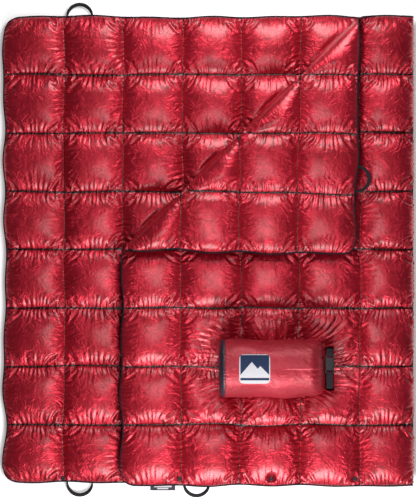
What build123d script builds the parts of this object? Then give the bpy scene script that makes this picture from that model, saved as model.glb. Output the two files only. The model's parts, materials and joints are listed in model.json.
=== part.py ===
from build123d import *
import os

# Quilted down camp blanket, lying folded once across its length, with one free corner turned
# back and its stuff sack resting on top. Millimetres. +Z is up, +X points to the fold, and the
# origin is the bottom centre of the folded blanket.

# Quilting grid
COLUMN = 161.5              # pitch of the seams along the length
ROW = 158.5                 # pitch of the seams across the width
ROWS = 8
LOWER_COLUMNS = 7
UPPER_COLUMNS = 5
FLAP_SQUARES = 4            # the corner turned back is this many squares each way
HALF_WIDTH = ROWS * ROW / 2
HALF_LENGTH = 555.0         # half the folded length, fold to free edge
UPPER_EDGE = -237.0         # where the upper layer's free edge lies

# Layers
LOFT = 36.0                 # thickness of one layer
LAYER_GAP = 0.6
SEAM_HEIGHT = 13.0          # height of the sewn edge above its layer's underside
FABRIC = 1.2
BRIM = 24.0                 # thin sewn margin round the free edges
CORNER_RADIUS = 38.0
FOLD_AXIS_X = HALF_LENGTH - FABRIC / 2
FOLD_CLEARANCE = 1.0        # from each layer to the line that it turns about
PANEL_END = FOLD_AXIS_X - FOLD_CLEARANCE
LOWER_BASE = 0.0
UPPER_BASE = LOFT + LAYER_GAP
FLAP_BASE = 2 * UPPER_BASE
FOLD_AXIS_Z = LOFT + LAYER_GAP / 2
FLAP_AXIS_Z = FLAP_BASE - LAYER_GAP / 2
CUT_OVERRUN = 1.0           # how far a cutting block runs past what it cuts

# Filling and thread
DOWN_THICKNESS = 10.0
DOWN_MARGIN = 8.0           # from a block of down to the seams round it
DOWN_LIFT = 2.4
THREAD = 1.0
INNER_MARGIN = BRIM + FABRIC + 1.0      # free edge to the down and the quilting thread

# Edge binding
BINDING_HEIGHT = 4.8
BINDING_DEPTH = 4.5
SLOT_PLAY = 0.1

# Webbing loops
LOOP_RADIUS = 35.0
LOOP_THICKNESS = 1.6
LOOP_WIDTH = 9.0
LOOP_LIFT = 4.0             # underside of a loop above its layer's underside
LOOP_SETBACK = 204.0        # from the free edge to the middle of a loop
LOOP_GAP = 0.4

# Snap fasteners
SNAP_PLACES = (158.3, 407.0, 634.7)    # from the free edge
SNAP_SETBACK = 12.5                    # from the bottom edge
CAP_RADIUS = 6.0
CAP_HEIGHT = 2.2
CAP_ROUNDING = 1.54
SOCKET_RADIUS = 5.2
SOCKET_HEIGHT = 2.6
POST_RADIUS = 2.1
POST_PLAY = 0.15
STUD_RADIUS = 2.6
STUD_HEIGHT = 1.8

# Edge label
LABEL_LENGTH = 68.0
LABEL_DROP = 19.0
LABEL_THICKNESS = 1.2
LABEL_SETBACK = 112.5

# Stuff sack
SACK_X0 = 28.0
SACK_X1 = 313.8
SACK_Y = -320.0
SACK_RADIUS = 79.0
SACK_FLATTENING = 0.85      # centre height over radius, because the underside is pressed flat
SACK_SHOULDER = 24.0
SACK_BASE_DEPTH = 15.7
DENT_DEPTH = 20.0
DENT_MARGIN = 8.0
SACK_GAP = 0.4
SACK_FLOOR = UPPER_BASE + LOFT - DENT_DEPTH + SACK_GAP
SACK_Z = SACK_FLOOR + SACK_FLATTENING * SACK_RADIUS
FILLING_GAP = 0.3

# Sack patch
PATCH_X = 123.5
PATCH_SIZE = 83.0
PATCH_RADIUS = 12.0
PATCH_THICKNESS = 1.0
PATCH_GAP = 0.1

# Rolled mouth of the sack, bent into a U, with its strap across the top
ROLL_GAP = 0.2
ROLL_X0 = SACK_X1 + ROLL_GAP
ROLL_WIDTH = 24.0
ROLL_OUTER_Y = 60.0
ROLL_THICKNESS = 13.0
ROLL_BOTTOM = -41.0         # below the sack's axis
ROLL_TOP = 26.0             # above the sack's axis
ROLL_BEND = 38.0
STIFFENER_THICKNESS = 1.4
STIFFENER_WIDTH = 20.0
STIFFENER_PLAY = 0.3
STRAP_WIDTH = 18.4
STRAP_THICKNESS = 1.8
STRAP_RISE = 4.4            # middle of the strap above the roll's tips
STRAP_Z = SACK_Z + ROLL_TOP + STRAP_RISE

# Side-release buckle, in line with the strap
BUCKLE_X = ROLL_X0 + ROLL_WIDTH / 2
BUCKLE_WIDTH = 24.0
BUCKLE_HEIGHT = 8.0
BUCKLE_ROUNDING = 2.4
MATING_GAP = 0.2
MATING_Y = SACK_Y + 20.7    # where the two halves meet
FEMALE_LENGTH = 25.0
MALE_LENGTH = 8.0
SOCKET_DEPTH = 20.0
SOCKET_WIDTH = 18.4
SOCKET_OPENING = 5.0
PRONG_LENGTH = 18.0
PRONG_WIDTH = 3.2
PRONG_HEIGHT = 4.2
PRONG_OFFSET = 6.8
GUIDE_WIDTH = 3.0
WINDOW_LENGTH = 9.0
WINDOW_SETBACK = 2.0        # from the closed end of the socket
ARM_LENGTH = 7.5
ARM_WIDTH = 2.6
BAR_SIZE = 3.0
SLEEVE_PLAY = 0.3


def block(x0, x1, y0, y1, z0, z1):
    """A box between two corners."""
    centre = Pos((x0 + x1) / 2, (y0 + y1) / 2, (z0 + z1) / 2)
    return centre * Box(x1 - x0, y1 - y0, z1 - z0)


def layer(edge_x, inset, z0, z1, end_x=PANEL_END):
    """A layer's outline between two heights, drawn in by inset at its three free edges."""
    reach = HALF_WIDTH - FABRIC - inset
    plate = block(edge_x + FABRIC + inset, end_x, -reach, reach, z0, z1)
    free_corners = plate.edges().filter_by(Axis.Z).group_by(Axis.X)[0]
    return fillet(free_corners, max(CORNER_RADIUS - inset, FABRIC))


def union(pieces):
    whole = pieces[0]
    for piece in pieces[1:]:
        whole = whole + piece
    return whole


# The line that the corner is turned back along, from the free edge up to the top edge
FOLD_FOOT = Vector(UPPER_EDGE, HALF_WIDTH - FLAP_SQUARES * ROW, 0)
FOLD_HEAD = Vector(UPPER_EDGE + FLAP_SQUARES * COLUMN, HALF_WIDTH, 0)
FOLD_ALONG = (FOLD_HEAD - FOLD_FOOT).normalized()
FOLD_OUTWARD = Vector(-FOLD_ALONG.Y, FOLD_ALONG.X, 0)


def fold_plane(distance):
    """The upright plane along the corner's fold, moved outward by distance."""
    return Plane(origin=FOLD_FOOT + FOLD_OUTWARD * distance, z_dir=FOLD_OUTWARD)


def keep_upper(shape, clearance=FOLD_CLEARANCE):
    """What is left of the upper layer where its corner is turned back."""
    return split(shape, bisect_by=fold_plane(-clearance), keep=Keep.BOTTOM)


def keep_flap(shape, clearance=FOLD_CLEARANCE):
    """The corner of the upper layer, turned back over the fold line."""
    corner = split(shape, bisect_by=fold_plane(clearance), keep=Keep.TOP)
    return mirror(corner, about=fold_plane(0))


def under_fabric(edge_x, base):
    """The lower sheet of fabric of one layer: a shallow tray with a sewn brim."""
    seam = base + SEAM_HEIGHT
    tray = layer(edge_x, BRIM, base, seam)
    brim = layer(edge_x, 0, seam - FABRIC, seam)
    hollow = layer(edge_x, BRIM + FABRIC, base + FABRIC, seam)
    return tray + brim - hollow


def over_fabric(edge_x, base, dent=None):
    """The upper sheet of fabric of one layer: the same tray upside down, and deeper."""
    seam = base + SEAM_HEIGHT
    top = base + LOFT
    tray = layer(edge_x, BRIM, seam, top)
    brim = layer(edge_x, 0, seam, seam + FABRIC)
    hollow = layer(edge_x, BRIM + FABRIC, seam, top - FABRIC)
    if dent:
        tray = tray - dent(0)
        hollow = hollow - dent(FABRIC)
    return tray + brim - hollow


def sack_dent(growth):
    """The hollow that the sack presses into the upper layer."""
    return block(
        SACK_X0 - DENT_MARGIN - growth,
        ROLL_X0 + ROLL_WIDTH + DENT_MARGIN + growth,
        SACK_Y - SACK_RADIUS - DENT_MARGIN - growth,
        SACK_Y + SACK_RADIUS + DENT_MARGIN + growth,
        SACK_FLOOR - SACK_GAP - growth,
        UPPER_BASE + LOFT + CUT_OVERRUN,
    )


def column_seams(edge_x, columns):
    """Where a layer's seams across the width lie, and its end at the fold."""
    return [edge_x + COLUMN * n for n in range(columns)] + [PANEL_END]


def row_seams():
    return [ROW * n - HALF_WIDTH for n in range(ROWS + 1)]


def down_blocks(edge_x, columns, base):
    """One block of down in each quilted square, trimmed to the layer's outline."""
    z0 = base + DOWN_LIFT
    trim = layer(edge_x, INNER_MARGIN, z0, z0 + DOWN_THICKNESS)
    xs = column_seams(edge_x, columns)
    ys = row_seams()
    blocks = []
    for x0, x1 in zip(xs, xs[1:]):
        for y0, y1 in zip(ys, ys[1:]):
            square = block(
                x0 + DOWN_MARGIN, x1 - DOWN_MARGIN,
                y0 + DOWN_MARGIN, y1 - DOWN_MARGIN,
                z0, z0 + DOWN_THICKNESS,
            )
            blocks.append(square & trim)
    return blocks


def quilting_thread(edge_x, columns, base):
    """The lines of thread along the seams, one grid."""
    z0 = base + DOWN_LIFT
    z1 = z0 + THREAD
    x0 = edge_x + FABRIC + INNER_MARGIN
    x1 = PANEL_END - THREAD
    reach = HALF_WIDTH - FABRIC - INNER_MARGIN
    lines = []
    for x in column_seams(edge_x, columns)[1:-1]:
        lines.append(block(x - THREAD / 2, x + THREAD / 2, -reach, reach, z0, z1))
    for y in row_seams()[1:-1]:
        lines.append(block(x0, x1, y - THREAD / 2, y + THREAD / 2, z0, z1))
    return union(lines)


def edge_binding(edge_x, base):
    """Bias tape folded over the sewn brim, round the three free edges."""
    seam = base + SEAM_HEIGHT
    z0 = seam - BINDING_HEIGHT / 2
    z1 = seam + BINDING_HEIGHT / 2
    tape = layer(edge_x, -FABRIC, z0, z1)
    cut_x = PANEL_END + CUT_OVERRUN
    inside = layer(edge_x, BINDING_DEPTH, z0 - CUT_OVERRUN, z1 + CUT_OVERRUN, end_x=cut_x)
    slot_half = FABRIC + SLOT_PLAY
    slot = layer(edge_x, -SLOT_PLAY, seam - slot_half, seam + slot_half, end_x=cut_x)
    return tape - inside - slot


def snap_points(edge_x):
    y = SNAP_SETBACK - HALF_WIDTH
    return [(edge_x + place, y) for place in SNAP_PLACES]


def snap_holes(edge_x, base):
    seam = base + SEAM_HEIGHT
    hole = Cylinder(POST_RADIUS + POST_PLAY, 2 * SEAM_HEIGHT)
    return union([Pos(x, y, seam) * hole for x, y in snap_points(edge_x)])


def snap_caps(edge_x, base):
    """Domed caps on the upper side, each with its rivet post."""
    top = base + SEAM_HEIGHT + FABRIC
    post_length = 2 * FABRIC + SOCKET_HEIGHT
    cap = Pos(0, 0, CAP_HEIGHT / 2) * Cylinder(CAP_RADIUS, CAP_HEIGHT)
    rim = cap.edges().filter_by(GeomType.CIRCLE).group_by(Axis.Z)[-1]
    cap = fillet(rim, CAP_ROUNDING)
    post = Pos(0, 0, -post_length / 2) * Cylinder(POST_RADIUS, post_length)
    rivet = cap + post
    return [Pos(x, y, top) * rivet for x, y in snap_points(edge_x)]


def snap_rings(edge_x, base, studded):
    """The mating halves on the underside: sockets, or studs that stand down from their ring."""
    top = base + SEAM_HEIGHT - FABRIC
    ring = Pos(0, 0, -SOCKET_HEIGHT / 2) * Cylinder(SOCKET_RADIUS, SOCKET_HEIGHT)
    bore = Pos(0, 0, -SOCKET_HEIGHT / 2) * Cylinder(POST_RADIUS + POST_PLAY, SOCKET_HEIGHT)
    ring = ring - bore
    if studded:
        stud = Pos(0, 0, -SOCKET_HEIGHT - STUD_HEIGHT / 2) * Cylinder(STUD_RADIUS, STUD_HEIGHT)
        ring = ring + stud
    return [Pos(x, y, top) * ring for x, y in snap_points(edge_x)]


def webbing_loop(x, base, side):
    """A half ring of webbing on edge, standing out from the top edge (side 1) or bottom (-1)."""
    ring = Cylinder(LOOP_RADIUS, LOOP_WIDTH) - Cylinder(LOOP_RADIUS - LOOP_THICKNESS, LOOP_WIDTH)
    far = 2 * LOOP_RADIUS
    ring = ring & block(-far, far, LOOP_GAP, far, -far, far)
    turn = Rot(0, 0, 0 if side > 0 else 180)
    return Pos(x, side * HALF_WIDTH, base + LOOP_LIFT + LOOP_WIDTH / 2) * turn * ring


def edge_label():
    seam = UPPER_BASE + SEAM_HEIGHT
    x = UPPER_EDGE + LABEL_SETBACK
    y = -HALF_WIDTH - LOOP_GAP
    half = LABEL_LENGTH / 2
    return block(
        x - half, x + half, y - LABEL_DROP, y,
        seam - LABEL_THICKNESS / 2, seam + LABEL_THICKNESS / 2,
    )


def side_fold():
    """The fabric between the two layers along the fold across the length."""
    reach = HALF_WIDTH - 2 * FABRIC
    rise = FOLD_AXIS_Z - LOWER_BASE
    return block(
        HALF_LENGTH - FABRIC, HALF_LENGTH, -reach, reach, FOLD_AXIS_Z - rise, FOLD_AXIS_Z + rise,
    )


def corner_fold():
    """The fabric between the upper layer and the corner turned back from it."""
    middle = (FOLD_FOOT + FOLD_HEAD) * 0.5
    span = (FOLD_HEAD - FOLD_FOOT).length - 2 * BRIM
    height = 2 * (FLAP_AXIS_Z - UPPER_BASE)
    place = Plane(
        origin=Vector(middle.X, middle.Y, FLAP_AXIS_Z),
        x_dir=FOLD_ALONG,
        z_dir=(0, 0, 1),
    )
    return place * Box(span, FABRIC, height)


def sack_form(shrink):
    """The stuffed sack's outside, or the same form drawn in by shrink."""
    length = SACK_X1 - SACK_X0 - 2 * shrink
    drum = Cylinder(SACK_RADIUS - shrink, length)
    drum = fillet(drum.edges().filter_by(GeomType.CIRCLE), SACK_SHOULDER - shrink)
    drum = Pos((SACK_X0 + SACK_X1) / 2, SACK_Y, SACK_Z) * Rot(0, 90, 0) * drum
    return split(drum, bisect_by=Plane.XY.offset(SACK_FLOOR + shrink), keep=Keep.TOP)


def sack_patch():
    """A rounded square of coated fabric, curved over the top of the sack."""
    inner = SACK_RADIUS + PATCH_GAP
    tube = Cylinder(inner + PATCH_THICKNESS, PATCH_SIZE) - Cylinder(inner, PATCH_SIZE)
    tube = Pos(PATCH_X, SACK_Y, SACK_Z) * Rot(0, 90, 0) * tube
    square = Box(PATCH_SIZE, PATCH_SIZE, SACK_RADIUS)
    square = fillet(square.edges().filter_by(Axis.Z), PATCH_RADIUS)
    return tube & Pos(PATCH_X, SACK_Y, SACK_Z + SACK_RADIUS) * square


def u_band(outer_y, bottom, thickness, width, bend):
    """A flat band bent into a U that opens upward, in the plane across the sack's end."""
    middle_z = SACK_Z + ROLL_TOP
    depth = ROLL_TOP - bottom
    outer = RectangleRounded(2 * outer_y, 2 * depth, bend)
    inner = RectangleRounded(2 * (outer_y - thickness), 2 * (depth - thickness), bend - thickness)
    across = Plane(origin=(BUCKLE_X - width / 2, SACK_Y, middle_z), x_dir=(0, 1, 0), z_dir=(1, 0, 0))
    ring = extrude(across * (outer - inner), amount=width)
    return split(ring, bisect_by=Plane.XY.offset(middle_z), keep=Keep.BOTTOM)


def stiffener_band(play):
    """The strip inside the rolled mouth, or the room that it lies in."""
    inset = (ROLL_THICKNESS - STIFFENER_THICKNESS) / 2 - play
    thickness = STIFFENER_THICKNESS + 2 * play
    return u_band(
        ROLL_OUTER_Y - inset, ROLL_BOTTOM + inset, thickness,
        STIFFENER_WIDTH + 2 * play, ROLL_BEND - inset,
    )


def rolled_mouth():
    roll = u_band(ROLL_OUTER_Y, ROLL_BOTTOM, ROLL_THICKNESS, ROLL_WIDTH, ROLL_BEND)
    return roll - stiffener_band(STIFFENER_PLAY)


def bar_centre(side):
    """Middle of the bar at the far end of the male half (side 1) or the female half (-1)."""
    length = MALE_LENGTH if side > 0 else FEMALE_LENGTH
    return MATING_Y + side * (length + ARM_LENGTH - BAR_SIZE / 2)


def strap(side):
    """Webbing from one tip of the roll to the bar of its half of the buckle, sewn round it."""
    half = STRAP_WIDTH / 2
    bar_y = bar_centre(side)
    tip_y = SACK_Y + side * (ROLL_OUTER_Y - ROLL_THICKNESS / 2)
    reach = BAR_SIZE / 2 + SLEEVE_PLAY
    outside = reach + STRAP_THICKNESS
    plate_z = STRAP_Z - outside
    sleeve = block(
        BUCKLE_X - half, BUCKLE_X + half, bar_y - outside, bar_y + outside, plate_z, STRAP_Z + outside,
    )
    room = block(
        BUCKLE_X - half, BUCKLE_X + half, bar_y - reach, bar_y + reach,
        STRAP_Z - reach, STRAP_Z + reach,
    )
    low_y, high_y = sorted((bar_y, tip_y))
    plate = block(
        BUCKLE_X - half, BUCKLE_X + half, low_y, high_y, plate_z, plate_z + STRAP_THICKNESS,
    )
    return sleeve + plate - room


def bar_end(side):
    """The two arms and the bar that the webbing is sewn round."""
    length = MALE_LENGTH if side > 0 else FEMALE_LENGTH
    start = MATING_Y + side * length
    finish = start + side * ARM_LENGTH
    low_y, high_y = sorted((start, finish))
    half = BUCKLE_WIDTH / 2
    rise = BUCKLE_HEIGHT / 2
    arms = [
        block(x, x + ARM_WIDTH, low_y, high_y, STRAP_Z - rise, STRAP_Z + rise)
        for x in (BUCKLE_X - half, BUCKLE_X + half - ARM_WIDTH)
    ]
    bar_y = bar_centre(side)
    bar = block(
        BUCKLE_X - half, BUCKLE_X + half, bar_y - BAR_SIZE / 2, bar_y + BAR_SIZE / 2,
        STRAP_Z - BAR_SIZE / 2, STRAP_Z + BAR_SIZE / 2,
    )
    return arms[0] + arms[1] + bar


def buckle_body(y0, y1):
    """A rounded bar of the buckle's section between two places along the strap."""
    half = BUCKLE_WIDTH / 2
    rise = BUCKLE_HEIGHT / 2
    body = block(BUCKLE_X - half, BUCKLE_X + half, y0, y1, STRAP_Z - rise, STRAP_Z + rise)
    return fillet(body.edges().filter_by(Axis.Y), BUCKLE_ROUNDING)


def buckle_female():
    """The socket half, with a window at each side for the prongs."""
    body = buckle_body(MATING_Y - FEMALE_LENGTH, MATING_Y - MATING_GAP)
    half = SOCKET_WIDTH / 2
    rise = SOCKET_OPENING / 2
    socket = block(
        BUCKLE_X - half, BUCKLE_X + half, MATING_Y - SOCKET_DEPTH, MATING_Y,
        STRAP_Z - rise, STRAP_Z + rise,
    )
    window_y = MATING_Y - SOCKET_DEPTH + WINDOW_SETBACK
    windows = block(
        BUCKLE_X - BUCKLE_WIDTH, BUCKLE_X + BUCKLE_WIDTH, window_y, window_y + WINDOW_LENGTH,
        STRAP_Z - rise, STRAP_Z + rise,
    )
    return body - socket - windows + bar_end(-1)


def buckle_male():
    """The pronged half: two sprung side prongs and a middle guide."""
    body = buckle_body(MATING_Y, MATING_Y + MALE_LENGTH)
    pieces = [body, bar_end(1)]
    for offset, width in ((-PRONG_OFFSET, PRONG_WIDTH), (0, GUIDE_WIDTH), (PRONG_OFFSET, PRONG_WIDTH)):
        x = BUCKLE_X + offset
        pieces.append(block(
            x - width / 2, x + width / 2, MATING_Y - PRONG_LENGTH, MATING_Y,
            STRAP_Z - PRONG_HEIGHT / 2, STRAP_Z + PRONG_HEIGHT / 2,
        ))
    return union(pieces)


def solids_in(shape):
    """Every solid of a shape or of a list of shapes."""
    shapes = shape if isinstance(shape, list) else [shape]
    return [solid for each in shapes if each is not None for solid in each.solids()]


def save(name, shape):
    solids = solids_in(shape)
    node = solids[0] if len(solids) == 1 else Compound(children=solids)
    node.label = name
    export_step(node, f"parts/{name}.step")


def lower_layer():
    edge = -HALF_LENGTH
    holes = snap_holes(edge, LOWER_BASE)
    save("lower_shell", under_fabric(edge, LOWER_BASE) - holes)
    save("lower_lining", over_fabric(edge, LOWER_BASE) - holes)
    save("lower_down", down_blocks(edge, LOWER_COLUMNS, LOWER_BASE))
    save("lower_quilting_thread", quilting_thread(edge, LOWER_COLUMNS, LOWER_BASE))
    save("lower_binding", edge_binding(edge, LOWER_BASE))
    save("lower_snap_caps", snap_caps(edge, LOWER_BASE))
    save("lower_snap_sockets", snap_rings(edge, LOWER_BASE, studded=False))
    save("lower_top_loop", webbing_loop(edge + LOOP_SETBACK, LOWER_BASE, 1))
    save("lower_bottom_loop", webbing_loop(edge + LOOP_SETBACK, LOWER_BASE, -1))


def upper_layer():
    holes = snap_holes(UPPER_EDGE, UPPER_BASE)
    save("upper_lining", keep_upper(under_fabric(UPPER_EDGE, UPPER_BASE) - holes))
    save("upper_shell", keep_upper(over_fabric(UPPER_EDGE, UPPER_BASE, sack_dent) - holes))
    down = down_blocks(UPPER_EDGE, UPPER_COLUMNS, UPPER_BASE)
    save("upper_down", [keep_upper(piece, DOWN_MARGIN) for piece in down])
    thread = quilting_thread(UPPER_EDGE, UPPER_COLUMNS, UPPER_BASE)
    save("upper_quilting_thread", keep_upper(thread))
    save("upper_binding", keep_upper(edge_binding(UPPER_EDGE, UPPER_BASE)))
    save("upper_snap_caps", snap_caps(UPPER_EDGE, UPPER_BASE))
    save("upper_snap_studs", snap_rings(UPPER_EDGE, UPPER_BASE, studded=True))
    save("upper_bottom_loop", webbing_loop(UPPER_EDGE + LOOP_SETBACK, UPPER_BASE, -1))
    save("edge_label", edge_label())
    save("side_fold", side_fold())


def corner_flap():
    save("flap_shell", keep_flap(under_fabric(UPPER_EDGE, FLAP_BASE)))
    save("flap_lining", keep_flap(over_fabric(UPPER_EDGE, FLAP_BASE)))
    down = down_blocks(UPPER_EDGE, UPPER_COLUMNS, FLAP_BASE)
    save("flap_down", [keep_flap(piece, DOWN_MARGIN) for piece in down])
    thread = quilting_thread(UPPER_EDGE, UPPER_COLUMNS, FLAP_BASE)
    save("flap_quilting_thread", keep_flap(thread))
    save("flap_binding", keep_flap(edge_binding(UPPER_EDGE, FLAP_BASE)))
    loop = webbing_loop(UPPER_EDGE + LOOP_SETBACK, FLAP_BASE, 1)
    save("flap_loop", mirror(loop, about=fold_plane(0)))
    save("corner_fold", corner_fold())


def stuff_sack():
    skin = sack_form(0) - sack_form(FABRIC)
    seam = Plane.YZ.offset(SACK_X0 + SACK_BASE_DEPTH)
    save("sack_body", split(skin, bisect_by=seam, keep=Keep.TOP))
    save("sack_base", split(skin, bisect_by=seam, keep=Keep.BOTTOM))
    save("sack_filling", sack_form(FABRIC + FILLING_GAP))
    save("sack_patch", sack_patch())
    save("sack_rolled_mouth", rolled_mouth())
    save("sack_stiffener", stiffener_band(0))
    save("buckle_female_strap", strap(-1))
    save("buckle_male_strap", strap(1))
    save("buckle_female", buckle_female())
    save("buckle_male", buckle_male())


os.makedirs("parts", exist_ok=True)
lower_layer()
upper_layer()
corner_flap()
stuff_sack()
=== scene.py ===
import json
import math
from concurrent.futures import ThreadPoolExecutor

import bpy
import numpy as np
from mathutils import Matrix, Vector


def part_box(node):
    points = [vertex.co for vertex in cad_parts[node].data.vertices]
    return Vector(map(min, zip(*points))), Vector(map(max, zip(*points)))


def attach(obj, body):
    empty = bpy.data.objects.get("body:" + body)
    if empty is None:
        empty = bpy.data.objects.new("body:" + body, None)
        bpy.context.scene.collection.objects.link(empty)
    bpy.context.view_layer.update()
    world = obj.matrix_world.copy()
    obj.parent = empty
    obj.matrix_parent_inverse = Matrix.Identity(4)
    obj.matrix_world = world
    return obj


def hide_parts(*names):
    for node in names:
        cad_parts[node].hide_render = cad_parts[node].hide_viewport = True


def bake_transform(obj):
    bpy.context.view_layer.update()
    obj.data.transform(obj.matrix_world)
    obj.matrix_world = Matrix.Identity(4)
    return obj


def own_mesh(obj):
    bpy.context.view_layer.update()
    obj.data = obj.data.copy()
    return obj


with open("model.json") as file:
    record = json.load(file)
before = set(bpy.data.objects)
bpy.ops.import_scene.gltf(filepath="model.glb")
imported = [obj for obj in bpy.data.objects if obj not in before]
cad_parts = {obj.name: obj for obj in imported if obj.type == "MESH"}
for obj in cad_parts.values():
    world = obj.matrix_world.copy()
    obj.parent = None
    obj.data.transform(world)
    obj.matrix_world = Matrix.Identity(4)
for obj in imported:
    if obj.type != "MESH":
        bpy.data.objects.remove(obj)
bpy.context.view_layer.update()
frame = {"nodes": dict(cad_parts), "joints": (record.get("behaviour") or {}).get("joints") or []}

# Lengths below are millimetres; MM turns them into Blender's metres.
MM = 0.001


def cad_box(node):
    """A CAD node's lowest and highest corners, in millimetres."""
    low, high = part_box(node)
    return np.array(low) / MM, np.array(high) / MM


def hinge_point(name):
    """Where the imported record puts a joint, in millimetres."""
    found = next(j for j in frame["joints"] if j["name"] == name)
    return np.array(found["pos_m"]) / MM


# ---------------------------------------------------------------- places, from the CAD frame
ROWS = 8
LOWER_COLUMNS = 7
UPPER_COLUMNS = 5
FLAP_SQUARES = 4
LOWER_LOW, LOWER_HIGH = cad_box("lower_binding")
LEFT_EDGE = LOWER_LOW[0]
HALF_HEIGHT = LOWER_HIGH[1]
UPPER_EDGE = cad_box("upper_binding")[0][0]
UPPER_BASE = cad_box("upper_lining")[0][2]
FLAP_BASE = cad_box("flap_shell")[0][2]
SEAM = cad_box("lower_lining")[0][2]
FOLD_X, _, FOLD_Z = hinge_point("upper_panel_fold")
ROLL_Z = hinge_point("corner_flap_fold")[2]
COLUMN = 2 * (hinge_point("corner_flap_fold")[0] - UPPER_EDGE) / FLAP_SQUARES
ROW = 2 * HALF_HEIGHT / ROWS
ROLL_FOOT = np.array([UPPER_EDGE, HALF_HEIGHT - FLAP_SQUARES * ROW])
ROLL_ALONG = np.array([COLUMN, ROW]) / math.hypot(COLUMN, ROW)
ROLL_OUTWARD = np.array([-ROLL_ALONG[1], ROLL_ALONG[0]])

# ---------------------------------------------------------------- the quilt's own measures
CELLS = 48                  # grid cells along one side of a quilted square
SIDE = 160.0                # side of the square that is inflated
SLACK = 0.08                # how much longer the fabric is than the seams that hold it
CROWN = 26.0                # height of a plump square over its seams
CORNER_RADIUS = 38.0
ROLL_CELLS = CELLS // 4     # the corner's roll takes this many cells each side of its line
ROLL_HALF = ROLL_CELLS * COLUMN * ROW / math.hypot(COLUMN, ROW) / CELLS
ROLL_RADIUS = 2 * ROLL_HALF / math.pi
ROLL_GAP = 4.0              # the shell inside the roll stays this far from the hinge line
BINDING_WIDTH = 4.4
BINDING_THICK = 2.8
LEFT_PART_COLUMNS = 3       # the lower layer is two meshes, cut after this many columns
OPEN_ROOM = 60.0            # more height than any square has: nothing holds it down
WEBBING_THICK = 2.4


# ---------------------------------------------------------------- small numeric helpers
def smooth_step(value):
    t = np.clip(value, 0, 1)
    return t * t * (3 - 2 * t)


def soft_min(value, limit, softness):
    """The lesser of the two, with the corner between them rounded off."""
    gap = value - limit
    return limit + 0.5 * (gap - np.sqrt(gap ** 2 + softness ** 2))


def soft_max(value, limit, softness):
    return -soft_min(-value, -limit, softness)


def waves(x, y, wavelength, seed, count=12):
    """Smooth noise about zero, of unit size: a sum of waves in scattered directions."""
    rng = np.random.default_rng(seed)
    total = np.zeros(np.broadcast(x, y).shape)
    for _ in range(count):
        heading, phase = rng.uniform(0, 2 * np.pi, 2)
        number = 2 * np.pi / (wavelength * rng.uniform(0.7, 1.4))
        total += np.cos(number * (x * np.cos(heading) + y * np.sin(heading)) + phase)
    return total * math.sqrt(2 / count)


def lengths_along(line):
    """Distance from the start of a line of points to each of them."""
    return np.concatenate([[0], np.cumsum(np.linalg.norm(np.diff(line, axis=0), axis=1))])


def unit(vectors):
    return vectors / (np.linalg.norm(vectors, axis=1, keepdims=True) + 1e-9)


# ---------------------------------------------------------------- cloth: inflated squares
# Squares are inflated on a grid half as fine first, and then on the whole grid.
COARSE = {"steps": 70, "pressure": 0.015, "momentum": 0.9, "sweeps": 2}
FINE = {"steps": 150, "pressure": 0.006, "momentum": 0.85, "sweeps": 4}
SLANT_STIFFNESS = 0.25      # cloth gives on the bias, and hardly at all along its threads
CLOTH_SMOOTHING = 0.02
PLEAT_DEPTH = 1.3


def neighbour_sets(size):
    """Slices that pair neighbouring grid points, in sets that share no point."""
    every = slice(None)
    early, late = slice(0, size - 1), slice(1, size)
    sets = []
    for parity in (0, 1):
        first, second = slice(parity, size - 1, 2), slice(parity + 1, size, 2)
        sets.append(("along", (every, every, first, every), (every, every, second, every)))
        sets.append(("across", (every, every, every, first), (every, every, every, second)))
        sets.append(("slant", (every, every, first, early), (every, every, second, late)))
        sets.append(("slant", (every, every, first, late), (every, every, second, early)))
    return sets


def pull_together(points, first, second, rest, stiffness):
    """Draw each pair of points towards its rest distance."""
    gap = points[second] - points[first]
    length = np.sqrt(gap[0] ** 2 + gap[1] ** 2 + gap[2] ** 2) + 1e-9
    gap *= 0.5 * stiffness * (1 - rest / length)
    points[first] += gap
    points[second] -= gap


def settle(points, rest, steps, pressure, momentum, sweeps):
    """Let inflated cloth squares, sewn down round their edges, come to rest."""
    border = np.ones(points.shape[2:], bool)
    border[1:-1, 1:-1] = False
    sewn = points[:, :, border].copy()
    sets = neighbour_sets(points.shape[2])
    before = points.copy()
    for _ in range(steps):
        du = points[:, :, 2:, 1:-1] - points[:, :, :-2, 1:-1]
        dv = points[:, :, 1:-1, 2:] - points[:, :, 1:-1, :-2]
        push = np.stack((
            du[1] * dv[2] - du[2] * dv[1],
            du[2] * dv[0] - du[0] * dv[2],
            du[0] * dv[1] - du[1] * dv[0],
        ))
        push *= pressure / (np.sqrt((push ** 2).sum(0)) + 1e-9)
        moved = points + momentum * (points - before)
        moved[:, :, 1:-1, 1:-1] += push
        before, points = points, moved
        for _ in range(sweeps):
            for kind, first, second in sets:
                stiffness = SLANT_STIFFNESS if kind == "slant" else 1.0
                pull_together(points, first, second, rest[kind], stiffness)
            inner = points[:, :, 1:-1, 1:-1]
            around = points[:, :, 2:, 1:-1] + points[:, :, :-2, 1:-1]
            around = around + points[:, :, 1:-1, 2:] + points[:, :, 1:-1, :-2]
            inner += CLOTH_SMOOTHING * (0.25 * around - inner)
            points[:, :, border] = sewn
    return points


def doubled(points):
    """The same surface on a grid with twice as many cells each way."""
    size = 2 * points.shape[2] - 1
    fine = np.empty(points.shape[:2] + (size, size), np.float32)
    fine[:, :, ::2, ::2] = points
    fine[:, :, 1::2, ::2] = 0.5 * (points[:, :, 1:] + points[:, :, :-1])
    fine[:, :, :, 1::2] = 0.5 * (fine[:, :, :, 2::2] + fine[:, :, :, :-2:2])
    return fine


def rest_lengths(cell, slack_u, slack_v):
    along = (cell * (1 + slack_u)).astype(np.float32)[:, None, None]
    across = (cell * (1 + slack_v)).astype(np.float32)[:, None, None]
    return {"along": along, "across": across, "slant": np.sqrt(along ** 2 + across ** 2)}


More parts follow.
